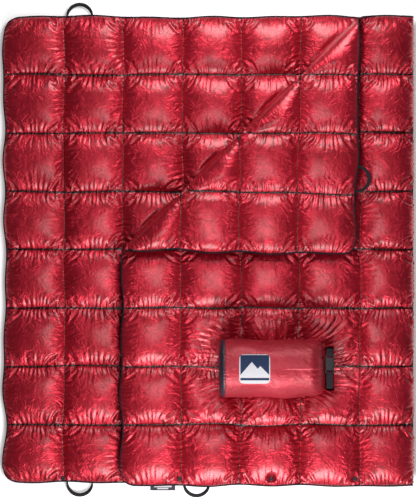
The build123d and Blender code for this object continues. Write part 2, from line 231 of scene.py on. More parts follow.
def pleats(rng, count):
    """Small random pleats that run in from all four sides of each square, and fan out."""
    size = CELLS + 1
    place = np.arange(size, dtype=float)
    depth = place * SIDE / CELLS
    total = np.zeros((count, size, size), np.float32)
    for n in range(count):
        for turn in range(4):
            profile = rng.standard_normal(size)
            profile[1:-1] += 0.5 * (profile[2:] + profile[:-2])
            lean = rng.uniform(-0.35, 0.35)
            reach = rng.uniform(16, 34)
            side = np.zeros((size, size))
            for k in range(size // 2 + 1):
                spread = (place - CELLS / 2) / (1 - depth[k] / (1.3 * SIDE))
                side[:, k] = np.interp(CELLS / 2 + spread + lean * k, place, profile)
                side[:, k] *= math.exp(-(depth[k] / reach) ** 2)
            total[n] += np.rot90(side, turn)
    return total


def inflate(count, seed):
    """A batch of quilted squares, each puckered in its own way: (3, count, grid, grid)."""
    rng = np.random.default_rng(seed)
    coarse = CELLS // 2
    line = np.linspace(0, SIDE, coarse + 1, dtype=np.float32)
    arch = np.sin(np.pi * line / SIDE)
    points = np.zeros((3, count, coarse + 1, coarse + 1), np.float32)
    points[0] = line[:, None]
    points[1] = line[None, :]
    points[2] = 0.1 * SIDE * np.outer(arch, arch)
    slack_u = rng.uniform(0.8, 1.3, count) * SLACK
    slack_v = rng.uniform(0.8, 1.3, count) * SLACK
    points = settle(points, rest_lengths(SIDE / coarse, slack_u, slack_v), **COARSE)
    points = doubled(points)
    points[2, :, 1:-1, 1:-1] += PLEAT_DEPTH * pleats(rng, count)[:, 1:-1, 1:-1]
    fine = FINE
    points = settle(points, rest_lengths(SIDE / CELLS, slack_u, slack_v), **fine)
    return rounder(points, rng)


def rounder(points, rng):
    """Down drifts inside each square, so its broad shape is a leaning dome under the pleats."""
    pleat_gain, own_share, dome_share = 1.25, 0.3, 0.7
    broad = points[2].copy()
    for _ in range(12):
        around = broad[:, 2:, 1:-1] + broad[:, :-2, 1:-1] + broad[:, 1:-1, 2:] + broad[:, 1:-1, :-2]
        broad[:, 1:-1, 1:-1] = 0.25 * around
    place = np.linspace(0, 1, CELLS + 1)
    for n in range(points.shape[1]):
        lean_u, lean_v = rng.uniform(0.85, 1.18, 2)
        u, v = place ** lean_u, place ** lean_v
        dome = CROWN * np.outer((4 * u * (1 - u)) ** 0.72, (4 * v * (1 - v)) ** 0.72)
        pleated = pleat_gain * (points[2, n] - broad[n])
        points[2, n] = pleated + own_share * broad[n] + dome_share * dome
    return points


def inflate_all(count, batch=8):
    sizes = [min(batch, count - start) for start in range(0, count, batch)]
    with ThreadPoolExecutor(4) as pool:
        batches = list(pool.map(inflate, sizes, range(101, 101 + len(sizes))))
    return np.concatenate(batches, axis=1).astype(float)


# ---------------------------------------------------------------- squares sewn into sheets
def sewn_sheet(squares, columns):
    """Squares sewn side by side: places u and v along the sheet and height h off its seams."""
    u = np.zeros((columns * CELLS + 1, ROWS * CELLS + 1))
    v = np.zeros_like(u)
    h = np.zeros_like(u)
    for n in range(columns * ROWS):
        column, row = divmod(n, ROWS)
        at = (
            slice(column * CELLS, (column + 1) * CELLS + 1),
            slice(row * CELLS, (row + 1) * CELLS + 1),
        )
        u[at] = (column + squares[0, n] / SIDE) * COLUMN
        v[at] = (row + squares[1, n] / SIDE) * ROW
        h[at] = squares[2, n]
    return u, v, h


def round_corner(a, b):
    """Bend a square corner round; a and b are the distances from its two sides."""
    p = np.clip(1 - a / CORNER_RADIUS, 0, 1)
    q = np.clip(1 - b / CORNER_RADIUS, 0, 1)
    new_a = CORNER_RADIUS * (1 - p * np.sqrt(1 - q ** 2 / 2))
    new_b = CORNER_RADIUS * (1 - q * np.sqrt(1 - p ** 2 / 2))
    both = (p > 0) & (q > 0)
    return np.where(both, new_a, a), np.where(both, new_b, b)


def shaped_outline(u, v):
    """Free edges swell a little between their seams, and the two free corners are round."""
    height = ROWS * ROW
    swell_u = 5.0 * (np.sin(np.pi * v / ROW) ** 2 - 0.6) + 1.3 * waves(v, 0 * v, 240, 5)
    swell_v = 3.0 * (np.sin(np.pi * u / COLUMN) ** 2 - 0.6) + 1.0 * waves(u, 0 * u, 240, 6)
    shaped_u = u - swell_u * smooth_step(1 - u / COLUMN)
    near_bottom = smooth_step(1 - v / ROW)
    near_top = smooth_step(1 - (height - v) / ROW)
    shaped_v = v + swell_v * (near_top - near_bottom)
    shaped_u, shaped_v = round_corner(shaped_u, shaped_v)
    shaped_u, from_top = round_corner(shaped_u, height - shaped_v)
    return shaped_u, height - from_top


def seam_wander(u, v, seed, columns):
    """Seams never lie quite straight; the wander dies away at the side fold."""
    fade = smooth_step((columns * COLUMN - u) / COLUMN)
    return 1.6 * fade * waves(u, v, 260, seed), 1.6 * fade * waves(u, v, 260, seed + 1)


def side_curve(u, columns, seam_x, seam_z):
    """The last column curves to meet the other layer at the side fold: x, z and the slope."""
    bend = 62.0
    angle = np.linspace(0, np.pi / 2, 60)
    table_x = np.append(seam_x, FOLD_X - bend + bend * np.sin(angle))
    table_z = np.append(seam_z, seam_z + (FOLD_Z - seam_z) * (1 - np.cos(angle)))
    run = np.append(0, np.cumsum(np.hypot(np.diff(table_x), np.diff(table_z))))
    share = (u - (columns - 1) * COLUMN) / COLUMN * run[-1]
    x = np.interp(share, run, table_x)
    z = np.interp(share, run, table_z)
    step = 1.5
    slope_x = np.interp(share + step, run, table_x) - np.interp(share - step, run, table_x)
    slope_z = np.interp(share + step, run, table_z) - np.interp(share - step, run, table_z)
    length = np.hypot(slope_x, slope_z) + 1e-9
    return x, z, slope_x / length, slope_z / length


def pressed_under(h, depth):
    """A square that lies on something: its height above the seams saturates at depth."""
    return depth * np.tanh(h / depth)


# ---------------------------------------------------------------- things that press on the quilt
SNAP_Y = 0.5 * (cad_box("lower_snap_caps")[0][1] + cad_box("lower_snap_caps")[1][1])
SNAP_X = {
    "lower": (-396.7, -148.0, 79.7),
    "upper": (-78.7, 170.0, 397.7),
}
SACK_LOW, SACK_HIGH = cad_box("sack_body")
SACK_Y = 0.5 * (SACK_LOW[1] + SACK_HIGH[1])
SACK_RADIUS = 0.5 * (SACK_HIGH[1] - SACK_LOW[1])
SACK_Z = SACK_HIGH[2] - SACK_RADIUS
SACK_FLOOR = SACK_LOW[2]
SACK_LEFT = cad_box("sack_base")[0][0]
SACK_RIGHT = cad_box("sack_rolled_mouth")[1][0]


def room_over_snaps(x, y, layer):
    """How high fabric may stand over its seams near the snaps, which pinch it."""
    room = np.full(x.shape, OPEN_ROOM)
    for snap_x in SNAP_X[layer]:
        away = np.hypot(x - snap_x, y - SNAP_Y)
        room = np.minimum(room, 0.8 + 34.0 * smooth_step((away - 5.0) / 24.0))
    return room


def roll_offset(x, y):
    """Distance in plan from the corner's fold line, positive towards the open side."""
    return (x - ROLL_FOOT[0]) * ROLL_OUTWARD[0] + (y - ROLL_FOOT[1]) * ROLL_OUTWARD[1]


def depth_under_flap(x, y):
    """How far inside the folded corner's outline a place lies, in plan; negative outside."""
    off = roll_offset(x, y)
    mirror_x = x - 2 * off * ROLL_OUTWARD[0]
    mirror_y = y - 2 * off * ROLL_OUTWARD[1]
    inside = np.minimum(mirror_x - UPPER_EDGE, HALF_HEIGHT - mirror_y)
    return np.minimum(inside, -off)


def under_sack(x, y):
    """The lowest surface of the sack over the quilt, and how far outside it a place lies."""
    across = np.abs(y - SACK_Y)
    beyond = np.maximum(SACK_LEFT - x, x - SACK_RIGHT)
    inside = np.clip(across / SACK_RADIUS, 0, 0.97)
    curve = SACK_Z - SACK_RADIUS * np.sqrt(1 - inside ** 2)
    end_rise = SACK_FLOOR + 1.4 * np.maximum(beyond, 0)
    outside = np.hypot(np.maximum(beyond, 0), np.maximum(across - 46.0, 0))
    return np.maximum(np.maximum(SACK_FLOOR, curve), end_rise) - 0.8, outside


def sack_dent(x, y, z):
    """The quilt gives way under the sack, and stretched creases run out from it."""
    limit, outside = under_sack(x, y)
    centre_x = 0.5 * (SACK_LEFT + SACK_RIGHT)
    angle = np.arctan2(y - SACK_Y, (x - centre_x) * 0.62)
    near = np.exp(-((outside - 40.0) / 52.0) ** 2)
    swing = 66 * angle + 2.2 * waves(x, y, 150, 31)
    crease = (1 - 2 * np.abs(np.sin(0.5 * swing))) * (0.7 + 0.5 * waves(x, y, 70, 33))
    broad_crease = np.sin(17 * angle + 2.0 * waves(x, y, 150, 35))
    plump = smooth_step((z - UPPER_BASE - SEAM) / 10)
    sink = 19.0 * smooth_step(1 - outside / 105.0)
    sunk = z + plump * (near * (1.7 * crease + 1.2 * broad_crease) - sink)
    return soft_min(sunk, np.maximum(limit, UPPER_BASE + SEAM), 2.5)


# ---------------------------------------------------------------- meshes
materials = {}


def mesh_piece(name, points, faces, slot, uv=None):
    """A mesh piece from points in millimetres and faces; slot names its material."""
    mesh = bpy.data.meshes.new(name)
    points = np.asarray(points, float).reshape(-1, 3) * MM
    faces = np.asarray(faces, np.int32)
    sides = faces.shape[1]
    mesh.vertices.add(len(points))
    mesh.vertices.foreach_set("co", points.astype(np.float32).ravel())
    mesh.loops.add(faces.size)
    mesh.loops.foreach_set("vertex_index", faces.ravel())
    mesh.polygons.add(len(faces))
    mesh.polygons.foreach_set("loop_start", np.arange(0, faces.size, sides, dtype=np.int32))
    mesh.update(calc_edges=True)
    if uv is not None:
        layer = mesh.uv_layers.new(name="cloth")
        layer.data.foreach_set("uv", (uv[faces.ravel()] * MM).astype(np.float32).ravel())
    mesh.polygons.foreach_set("use_smooth", np.ones(len(faces), bool))
    mesh.materials.append(materials[slot])
    piece = bpy.data.objects.new(name, mesh)
    bpy.context.scene.collection.objects.link(piece)
    return piece


def grid_triangles(size_i, size_j):
    """Two triangles a cell, cut along the diagonal that the corner's fold follows."""
    i, j = np.meshgrid(np.arange(size_i - 1), np.arange(size_j - 1), indexing="ij")
    a = (i * size_j + j).ravel()
    b, c, d = a + size_j, a + size_j + 1, a + 1
    return np.concatenate([np.stack([a, b, c], 1), np.stack([a, c, d], 1)])


def grid_quads(size_i, size_j, closed_j=False):
    """Four-sided faces over a grid; closed_j joins its last row of points to its first."""
    i, j = np.meshgrid(np.arange(size_i - 1), np.arange(size_j - 1 + closed_j), indexing="ij")
    a = (i * size_j + j).ravel()
    d = (i * size_j + (j + 1) % size_j).ravel()
    return np.stack([a, a + size_j, d + size_j, d], 1)


def vertex_normals(points, triangles):
    corners = points[triangles]
    face = np.cross(corners[:, 1] - corners[:, 0], corners[:, 2] - corners[:, 0])
    normals = np.zeros_like(points)
    for k in range(3):
        np.add.at(normals, triangles[:, k], face)
    return normals / (np.linalg.norm(normals, axis=1, keepdims=True) + 1e-12)


def sheet_part(name, points, normals, uv, triangles, slot):
    """The part of a sheet that these triangles cover, shaded as if the sheet were whole."""
    used = np.unique(triangles)
    index = np.full(len(points), -1)
    index[used] = np.arange(len(used))
    piece = mesh_piece(name, points[used], index[triangles], slot, uv=uv[used])
    piece.data.normals_split_custom_set_from_vertices(normals[used].tolist())
    return piece


# ---------------------------------------------------------------- the lower layer
def lower_surfaces(top, under):
    """The lower layer's top and underside as grids of points."""
    surfaces = []
    for squares, side in ((top, 1), (under, -1)):
        u, v, h = sewn_sheet(squares, LOWER_COLUMNS)
        flat_u, flat_v = u.copy(), v.copy()
        u, v = shaped_outline(u, v)
        shift_u, shift_v = seam_wander(u, v, 11, LOWER_COLUMNS)
        x = LEFT_EDGE + u
        y = v - HALF_HEIGHT + shift_v
        z = np.full(x.shape, SEAM)
        slope_x, slope_z = np.ones_like(x), np.zeros_like(x)
        last = u > (LOWER_COLUMNS - 1) * COLUMN
        seam_x = LEFT_EDGE + (LOWER_COLUMNS - 1) * COLUMN
        curve = side_curve(u, LOWER_COLUMNS, seam_x, SEAM)
        x = np.where(last, curve[0], x) + shift_u
        z = np.where(last, curve[1], z)
        slope_x = np.where(last, curve[2], slope_x)
        slope_z = np.where(last, curve[3], slope_z)
        if side > 0:
            cover = np.minimum(x - UPPER_EDGE, -roll_offset(x, y))
            room = UPPER_BASE - 0.5 - z + 0.7 * np.maximum(-cover - 6, 0)
            h = soft_min(h, np.maximum(room, 0.0), 3.0)
            h = soft_min(h, room_over_snaps(x, y, "lower"), 1.5)
        else:
            h = pressed_under(h, SEAM - 0.4)
        x = x - side * h * slope_z
        z = np.maximum(z + side * h * slope_x, 0.3)
        surfaces.append((np.stack([x, y, z], -1), np.stack([flat_u, flat_v], -1)))
    return surfaces


def build_lower_layer(top, under):
    names = (("lining", "lining_fabric"), ("shell", "shell_fabric"))
    for (points, uv), (label, slot), flip in zip(lower_surfaces(top, under), names, (False, True)):
        size_i, size_j = points.shape[:2]
        triangles = grid_triangles(size_i, size_j)
        if flip:
            triangles = triangles[:, ::-1]
        flat_points = points.reshape(-1, 3)
        normals = vertex_normals(flat_points, triangles)
        middle = flat_points[triangles].mean(1)[:, 0]
        cut = LEFT_EDGE + LEFT_PART_COLUMNS * COLUMN
        for part, chosen in (("left", middle < cut), ("right", middle >= cut)):
            piece = sheet_part(
                f"lower_{label}_{part}", flat_points, normals, uv.reshape(-1, 2), triangles[chosen], slot
            )
            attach(piece, "lower_panel")
    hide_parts("lower_lining", "lower_down", "side_fold")
    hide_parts("lower_shell")


# ---------------------------------------------------------------- the upper layer and its folded corner
def upper_middle(offset):
    """Height of the quilt's middle surface over its base: fuller beside the roll."""
    full = ROLL_Z - ROLL_RADIUS - UPPER_BASE
    return SEAM + (full - SEAM) * smooth_step(1 - (np.abs(offset) - ROLL_HALF) / 90)


def fold_corner(x, y, z_below, h, side):
    """Carry a point of the flat sheet round the corner's roll.

    side is 1 for the shell, which ends up inside the roll, and -1 for the lining outside it."""
    offset = roll_offset(x, y)
    middle = upper_middle(offset)
    angle = np.clip(offset / ROLL_RADIUS, -np.pi / 2, np.pi / 2)
    turned = np.where(np.abs(offset) < ROLL_HALF, -ROLL_HALF + ROLL_RADIUS * np.cos(angle), -np.abs(offset))
    roll_z = ROLL_Z + ROLL_RADIUS * np.sin(angle)
    below = UPPER_BASE + middle + z_below
    above = FLAP_BASE + middle
    z = np.where(offset <= -ROLL_HALF, below, np.where(offset >= ROLL_HALF, above, roll_z))
    turned = turned - side * h * np.cos(angle)
    z = z - side * h * np.sin(angle)
    move = turned - offset
    return np.stack([x + move * ROLL_OUTWARD[0], y + move * ROLL_OUTWARD[1], z], -1)


def upper_surfaces(shell, lining):
    """The upper layer's two faces and its middle surface, folded at the corner."""
    surfaces = []
    for squares, side in ((shell, 1), (lining, -1), (None, 0)):
        if squares is None:
            u, v = np.meshgrid(
                np.arange(UPPER_COLUMNS * CELLS + 1) * COLUMN / CELLS,
                np.arange(ROWS * CELLS + 1) * ROW / CELLS,
                indexing="ij",
            )
            h = np.zeros_like(u)
        else:
            u, v, h = sewn_sheet(squares, UPPER_COLUMNS)
        flat = np.stack([u, v], -1)
        u, v = shaped_outline(u, v)
        shift_u, shift_v = seam_wander(u, v, 21, UPPER_COLUMNS)
        v = v - 6.0 * smooth_step(1 - v / ROW)
        x = UPPER_EDGE + u
        y = v - HALF_HEIGHT + shift_v
        last = u > (UPPER_COLUMNS - 1) * COLUMN
        seam_x = UPPER_EDGE + (UPPER_COLUMNS - 1) * COLUMN
        base_z = UPPER_BASE + SEAM
        curve = side_curve(u, UPPER_COLUMNS, seam_x, base_z)
        z_below = np.where(last, curve[1] - base_z, 0)
        lean = np.where(last, curve[3], 0)
        x = np.where(last, curve[0], x) + shift_u
        offset = roll_offset(x, y)
        unfolded = offset < -ROLL_HALF
        middle = upper_middle(offset)
        on_flap = smooth_step((offset + ROLL_HALF) / (2 * ROLL_HALF))
        if side > 0:
            cover = depth_under_flap(x, y)
            room = FLAP_BASE - 0.9 - (UPPER_BASE + middle) + 0.7 * np.maximum(-cover - 6, 0)
            room = np.where(offset > -ROLL_HALF, middle - 0.4, room)
            h = soft_min(h, np.maximum(room, 0.0), 3.0)
            h = soft_min(h, room_over_snaps(x, y, "upper"), 1.5)
        elif side < 0:
            depth = middle - 0.4 + 16.0 * on_flap
            h = pressed_under(h, depth) * (1 - on_flap) + h * on_flap
            on_roll = smooth_step(1 - (np.abs(offset + 4) - 12) / 46)
            flattened = 9.0 + 0.28 * (h - 12.0)
            h = h + on_roll * (flattened - h)
            h = np.where(unfolded, soft_min(h, room_over_snaps(x, y, "upper"), 1.5), h)
        points = fold_corner(x, y, z_below, h, side)
        points[..., 0] -= side * h * lean * unfolded
        if side > 0:
            dented = sack_dent(points[..., 0], points[..., 1], points[..., 2])
            points[..., 2] = np.where(unfolded, dented, points[..., 2])
        if side < 0:
            low = np.where(unfolded, UPPER_BASE + 0.1, 0)
            points[..., 2] = np.maximum(points[..., 2], low)
        surfaces.append((points, flat))
    return surfaces


def roll_index():
    """For every cell of the upper sheet, how many cells it lies beyond the corner's fold."""
    i, j = np.meshgrid(
        np.arange(UPPER_COLUMNS * CELLS), np.arange(ROWS * CELLS), indexing="ij"
    )
    return (j - i - FLAP_SQUARES * CELLS).ravel()


def roll_masks():
    """Triangle masks for the upper panel, the roll and the flap, in grid_triangles' order."""
    cell = roll_index()
    low = np.concatenate([cell, cell + 1]) - 0.5
    return low < -ROLL_CELLS, np.abs(low) < ROLL_CELLS, low > ROLL_CELLS


def turned_cloth(uv):
    """Cloth coordinates with the two directions swapped, each seam still on its spacing."""
    return np.stack([uv[:, 1] * COLUMN / ROW, uv[:, 0] * ROW / COLUMN], -1)


def build_upper_layer(shell, lining):
    surfaces = upper_surfaces(shell, lining)
    size_i, size_j = surfaces[0][0].shape[:2]
    panel, roll, flap = roll_masks()
    made = {}
    for (points, uv), label, slot in zip(surfaces, ("shell", "lining"), ("shell_fabric", "lining_fabric")):
        triangles = grid_triangles(size_i, size_j)
        if label == "lining":
            triangles = triangles[:, ::-1]
        flat_points = points.reshape(-1, 3)
        flat_uv = uv.reshape(-1, 2)
        normals = vertex_normals(flat_points, triangles)
        parts = {"upper": panel, "flap": flap}
        if label == "lining":
            parts["corner"] = roll
        for part, mask in parts.items():
            cloth = flat_uv if part == "upper" else turned_cloth(flat_uv)
            piece = sheet_part(f"{part}_{label}_quilt", flat_points, normals, cloth, triangles[mask], slot)
            made[part, label] = piece
    for label in ("shell", "lining"):
        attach(made["upper", label], "upper_panel")
        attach(made["flap", label], "corner_flap")
        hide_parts(f"upper_{label}")
        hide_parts(f"flap_{label}")
    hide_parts("upper_down")
    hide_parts("flap_down")
    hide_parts("corner_fold")
    across_roll(made["corner", "lining"])
    shell_points, shell_uv = (part.reshape(-1, part.shape[-1]) for part in surfaces[0])
    build_inner_strip(shell_points, shell_uv, grid_triangles(size_i, size_j)[roll])
    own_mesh(made["flap", "lining"])
    return surfaces[2][0]


def across_roll(piece):
    """Bake the piece's place into its mesh; it lies between the upper panel and the flap, from the roll's
    foot to its top, and is attached to neither.
    """
    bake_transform(piece)


def opened_roll(points):
    """The shell inside the roll, laid as two halves that face each other while the corner is folded.

    The half below the hinge line lies under it and the half above it over it, laid so that turning them
    apart about the line would spread them side by side. Both stay ROLL_GAP or more from the line."""
    offset = roll_offset(points[:, 0], points[:, 1])
    out = offset + ROLL_HALF
    up = points[:, 2] - ROLL_Z
    angle = np.arctan2(up, out)
    fold_offset = -np.maximum(ROLL_RADIUS * np.abs(angle), ROLL_GAP)
    opened = points.copy()
    opened[:, :2] += (fold_offset - offset)[:, None] * ROLL_OUTWARD
    opened[:, 2] = ROLL_Z + np.where(angle < 0, -1, 1) * np.maximum(np.hypot(out, up), 1.0)
    return opened


def build_inner_strip(shell_points, uv, triangles):
    """Shell fabric inside the roll, which shows only once the corner is opened."""
    points = opened_roll(shell_points)
    heights = points[triangles, 2]
    on_one_side = (heights.max(1) < ROLL_Z) | (heights.min(1) > ROLL_Z)
    normals = vertex_normals(points, triangles[on_one_side])
    piece = sheet_part("corner_inner_strip", points, normals, uv, triangles, "shell_fabric")
    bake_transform(piece)


# ---------------------------------------------------------------- binding tape round the free edges
def swept_tape(name, path, normal, slot, width=BINDING_WIDTH, thick=BINDING_THICK):
    """Tape folded over an edge: a flattened round section carried along path."""
    tangent = np.gradient(path, axis=0)
    tangent = unit(tangent)
    side = np.cross(tangent, normal)
    side = unit(side)
    up = np.cross(side, tangent)
    turn = np.linspace(0, 2 * np.pi, 10, endpoint=False)
    across = 0.5 * width * np.sign(np.cos(turn)) * np.abs(np.cos(turn)) ** 0.7
    lift = 0.5 * thick * np.sign(np.sin(turn)) * np.abs(np.sin(turn)) ** 0.7
    rings = path[:, None] + across[None, :, None] * side[:, None] + lift[None, :, None] * up[:, None]
    length = lengths_along(path)
    ring_uv = np.stack(np.broadcast_arrays(length[:, None], turn[None, :] * 0.35 * width), -1)
    faces = grid_quads(len(path), len(turn), closed_j=True)
    return mesh_piece(name, rings.reshape(-1, 3), faces, slot, uv=ring_uv.reshape(-1, 2))


def edge_run(surface, normals, nodes):
    """Every second point along a run of grid nodes, and the surface's normal there."""
    i, j = nodes
    keep = np.unique(np.append(np.arange(0, len(i), 2), len(i) - 1))
    return surface[i[keep], j[keep]], normals[i[keep], j[keep]]


def free_edge(size_i, size_j):
    """Grid nodes round the three free edges, from the bottom right corner to the top right."""
    bottom = (np.arange(size_i - 1, 0, -1), np.zeros(size_i - 1, int))
    left = (np.zeros(size_j - 1, int), np.arange(size_j - 1))
    top = (np.arange(size_i), np.full(size_i, size_j - 1))
    return np.concatenate([bottom[0], left[0], top[0]]), np.concatenate([bottom[1], left[1], top[1]])


def surface_normals(surface):
    size_i, size_j = surface.shape[:2]
    flat = vertex_normals(surface.reshape(-1, 3), grid_triangles(size_i, size_j))
    return flat.reshape(surface.shape)


def lower_middle():
    """The lower layer's middle surface, where its two faces meet at the edges."""
    flat = np.zeros((3, LOWER_COLUMNS * ROWS, CELLS + 1, CELLS + 1))
    line = np.linspace(0, SIDE, CELLS + 1)
    flat[0] = line[:, None]
    flat[1] = line[None, :]
    return lower_surfaces(flat, flat)[0][0]


def build_bindings(lower, upper):
    i, j = free_edge(*lower.shape[:2])
    path, normal = edge_run(lower, surface_normals(lower), (i, j))
    piece = swept_tape("lower_edge_tape", path, normal, "binding")
    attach(piece, "lower_panel")
    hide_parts("lower_binding")
    i, j = free_edge(*upper.shape[:2])
    beyond = j - i - FLAP_SQUARES * CELLS
    normals = surface_normals(upper)
    flap = np.flatnonzero(beyond >= ROLL_CELLS)
    start, end = flap[0], flap[-1]
    first_roll = np.flatnonzero((beyond >= -ROLL_CELLS) & (np.arange(len(i)) < start))
    last_roll = np.flatnonzero((beyond >= -ROLL_CELLS) & (np.arange(len(i)) > end))
    runs = {
        "upper_edge_tape_near": np.arange(0, first_roll[0] + 1),
        "corner_edge_tape_near": np.arange(first_roll[0], start + 1),
        "flap_edge_tape": np.arange(start, end + 1),
        "corner_edge_tape_far": np.arange(end, last_roll[-1] + 1),
        "upper_edge_tape_far": np.arange(last_roll[-1], len(i)),
    }
    for name, run in runs.items():
        path, normal = edge_run(upper, normals, (i[run], j[run]))
        piece = swept_tape(name, path, normal, "binding")
        if name.startswith("corner"):
            across_roll(piece)
        else:
            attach(piece, "corner_flap" if name.startswith("flap") else "upper_panel")
        if name == "flap_edge_tape":
            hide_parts("flap_binding")
        if name == "upper_edge_tape_near":
            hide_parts("upper_binding")


# ---------------------------------------------------------------- stitches along the seams
def stitch_run(surface, normals, nodes, pitch=4.2, length=3.0, thick=0.75):
    """Places, directions and normals of the stitches along one run of grid nodes."""
    line = surface[nodes]
    up = normals[nodes]
    run = lengths_along(line)
    at = np.arange(pitch, run[-1] - pitch, pitch)
    place = np.stack([np.interp(at, run, line[:, k]) for k in range(3)], 1)
    ahead = np.stack([np.interp(at + 1, run, line[:, k]) for k in range(3)], 1)
    along = ahead - place
    along = unit(along)
    lift = np.stack([np.interp(at, run, up[:, k]) for k in range(3)], 1)
    return place, along * 0.5 * length, lift * 0.5 * thick


def stitch_mesh(name, runs):
    """All the stitches of one face as small pointed threads."""
    place, along, lift = (np.concatenate([run[k] for run in runs]) for k in range(3))
    half_thick = np.linalg.norm(lift, axis=1, keepdims=True)
    side = np.cross(along, lift)
    side *= half_thick / (np.linalg.norm(side, axis=1, keepdims=True) + 1e-9)
    middle = place + lift
    corners = np.stack([
        middle - along, middle + along,
        middle + lift, middle + side, middle - lift, middle - side,
    ], 1)
    ring = (2, 3, 4, 5)
    faces = []
    for k in range(4):
        near, far = ring[k], ring[(k + 1) % 4]
        faces.append((0, far, near))
        faces.append((1, near, far))
    base = 6 * np.arange(len(place))[:, None, None]
    return mesh_piece(name, corners.reshape(-1, 3), (np.array(faces)[None] + base).reshape(-1, 3), "thread")


def seam_nodes(size_i, size_j, keep):
    """Runs of grid nodes along every inner seam, cut to where keep(i, j) holds."""
    runs = []
    for i in range(CELLS, size_i - 1, CELLS):
        nodes = (np.full(size_j, i), np.arange(size_j))
        runs.append(nodes)
    for j in range(CELLS, size_j - 1, CELLS):
        nodes = (np.arange(size_i), np.full(size_i, j))
        runs.append(nodes)
    kept = []
    for i, j in runs:
        mask = keep(i, j)
        if mask.sum() > 3:
            kept.append((i[mask], j[mask]))
    return kept


def build_stitches(lower, upper):
    beyond = FLAP_SQUARES * CELLS
    parts = (
        ("lower", lower, lambda i, j: i >= 0, "lower_panel"),
        ("upper", upper, lambda i, j: j - i - beyond < -ROLL_CELLS, "upper_panel"),
        ("flap", upper, lambda i, j: j - i - beyond > ROLL_CELLS, "corner_flap"),
    )
    for label, surface, keep, body in parts:
        normals = surface_normals(surface)
        runs = seam_nodes(*surface.shape[:2], keep)
        faces = []
        for side in (1, -1):
            faces += [stitch_run(surface, side * normals, nodes) for nodes in runs]
        piece = stitch_mesh(f"{label}_stitches", faces)
        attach(piece, body)
        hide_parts(f"{label}_quilting_thread")


# ---------------------------------------------------------------- loops, snaps and label
def ribbon(name, path, across, thick, slot):
    """A flat woven band along path; across holds half its width as a vector at each point."""
    tangent = np.gradient(path, axis=0)
    face = np.cross(tangent, across)
    face *= 0.5 * thick / (np.linalg.norm(face, axis=1, keepdims=True) + 1e-9)
    turn = np.linspace(0, 2 * np.pi, 12, endpoint=False)
    out = np.sign(np.cos(turn)) * np.abs(np.cos(turn)) ** 0.5
    lift = np.sign(np.sin(turn)) * np.abs(np.sin(turn)) ** 0.5
    rings = path[:, None] + out[None, :, None] * across[:, None] + lift[None, :, None] * face[:, None]
    length = lengths_along(path)
    width = np.linalg.norm(across, axis=1)
    ring_uv = np.stack(np.broadcast_arrays(length[:, None], width[:, None] * out[None, :]), -1)
    body = grid_quads(len(path), len(turn), closed_j=True)
    return mesh_piece(name, rings.reshape(-1, 3), body, slot, uv=ring_uv.reshape(-1, 2))


def build_loop(node, body, heading, twist):
    """A webbing loop stands out from an edge, half twisted so that its face catches the light."""
    low, high = cad_box(node)
    middle = 0.5 * (low + high)
    heading = np.array(heading, float)
    along = np.array([-heading[1], heading[0], 0])
    half = 0.5 * abs(np.dot(high - low, along))
    reach = abs(np.dot(high - low, heading))
    root = middle - heading * 0.5 * reach
    turn = np.linspace(0, np.pi, 40)
    radius = half - 1.0
    sewn_in = 6.0                # both ends run this far in under the edge
    inset = -sewn_in * (np.abs(np.cos(turn)) > 0.999)
    path = root + np.cos(turn)[:, None] * radius * along
    path = path + (np.sin(turn) * (reach - 1.5) + inset)[:, None] * heading
    path[:, 2] += 0.8 * np.sin(turn)
    outward = np.cos(turn)[:, None] * along + np.sin(turn)[:, None] * heading
    tilt = twist * np.sin(turn) + 0.25
    half_width = 0.56 * (high[2] - low[2])
    across = half_width * (np.cos(tilt)[:, None] * np.array([0, 0, 1.0]) + np.sin(tilt)[:, None] * outward)
    piece = ribbon(f"{node}_webbing", path, across, WEBBING_THICK, "webbing")
    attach(piece, body)
    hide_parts(node)


def build_loops():
    build_loop("lower_top_loop", "loop_lower_top", (0, 1, 0), 1.15)
    build_loop("lower_bottom_loop", "loop_lower_bottom", (0, -1, 0), 1.3)
    build_loop("upper_bottom_loop", "loop_upper_bottom", (0, -1, 0), 1.35)
    build_loop("flap_loop", "loop_flap", (1, 0, 0), 1.1)


def build_label():
    """A woven label sewn under the edge, with its free end curling a little."""
    low, high = cad_box("edge_label")
    wide, tall = 40, 16          # grid points across the label and down it
    root = high[1] + 3.0         # its sewn end lies under the edge
    u, v = np.meshgrid(np.linspace(0, 1, wide), np.linspace(0, 1, tall), indexing="ij")
    x = low[0] + (high[0] - low[0]) * u
    y = root - (root - low[1]) * v
    z = 0.5 * (low[2] + high[2]) - 2.2 * v ** 2 + 0.5 * np.sin(5 * u) * v
    size = high - low
    flat = np.stack([(u - 0.5) * size[0], (0.5 - v) * size[1]], -1).reshape(-1, 2)
    top = np.stack([x, y, z + 0.45], -1).reshape(-1, 3)
    bottom = np.stack([x, y, z - 0.45], -1).reshape(-1, 3)
    faces = grid_quads(wide, tall)
    count = len(top)
    rim = np.concatenate([
        np.arange(tall),
        tall * np.arange(1, wide) + tall - 1,
        (wide - 1) * tall + np.arange(tall - 2, -1, -1),
        tall * np.arange(wide - 2, 0, -1),
    ])
    after = np.roll(rim, -1)
    sides = np.stack([rim, after, after + count, rim + count], 1)
    faces = np.concatenate([faces[:, ::-1], faces + count, sides])
    points, uv = np.concatenate([top, bottom]), np.concatenate([flat, flat])
    piece = mesh_piece("edge_label_woven", points, faces, "label", uv=uv)
    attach(piece, "label")
    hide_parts("edge_label")


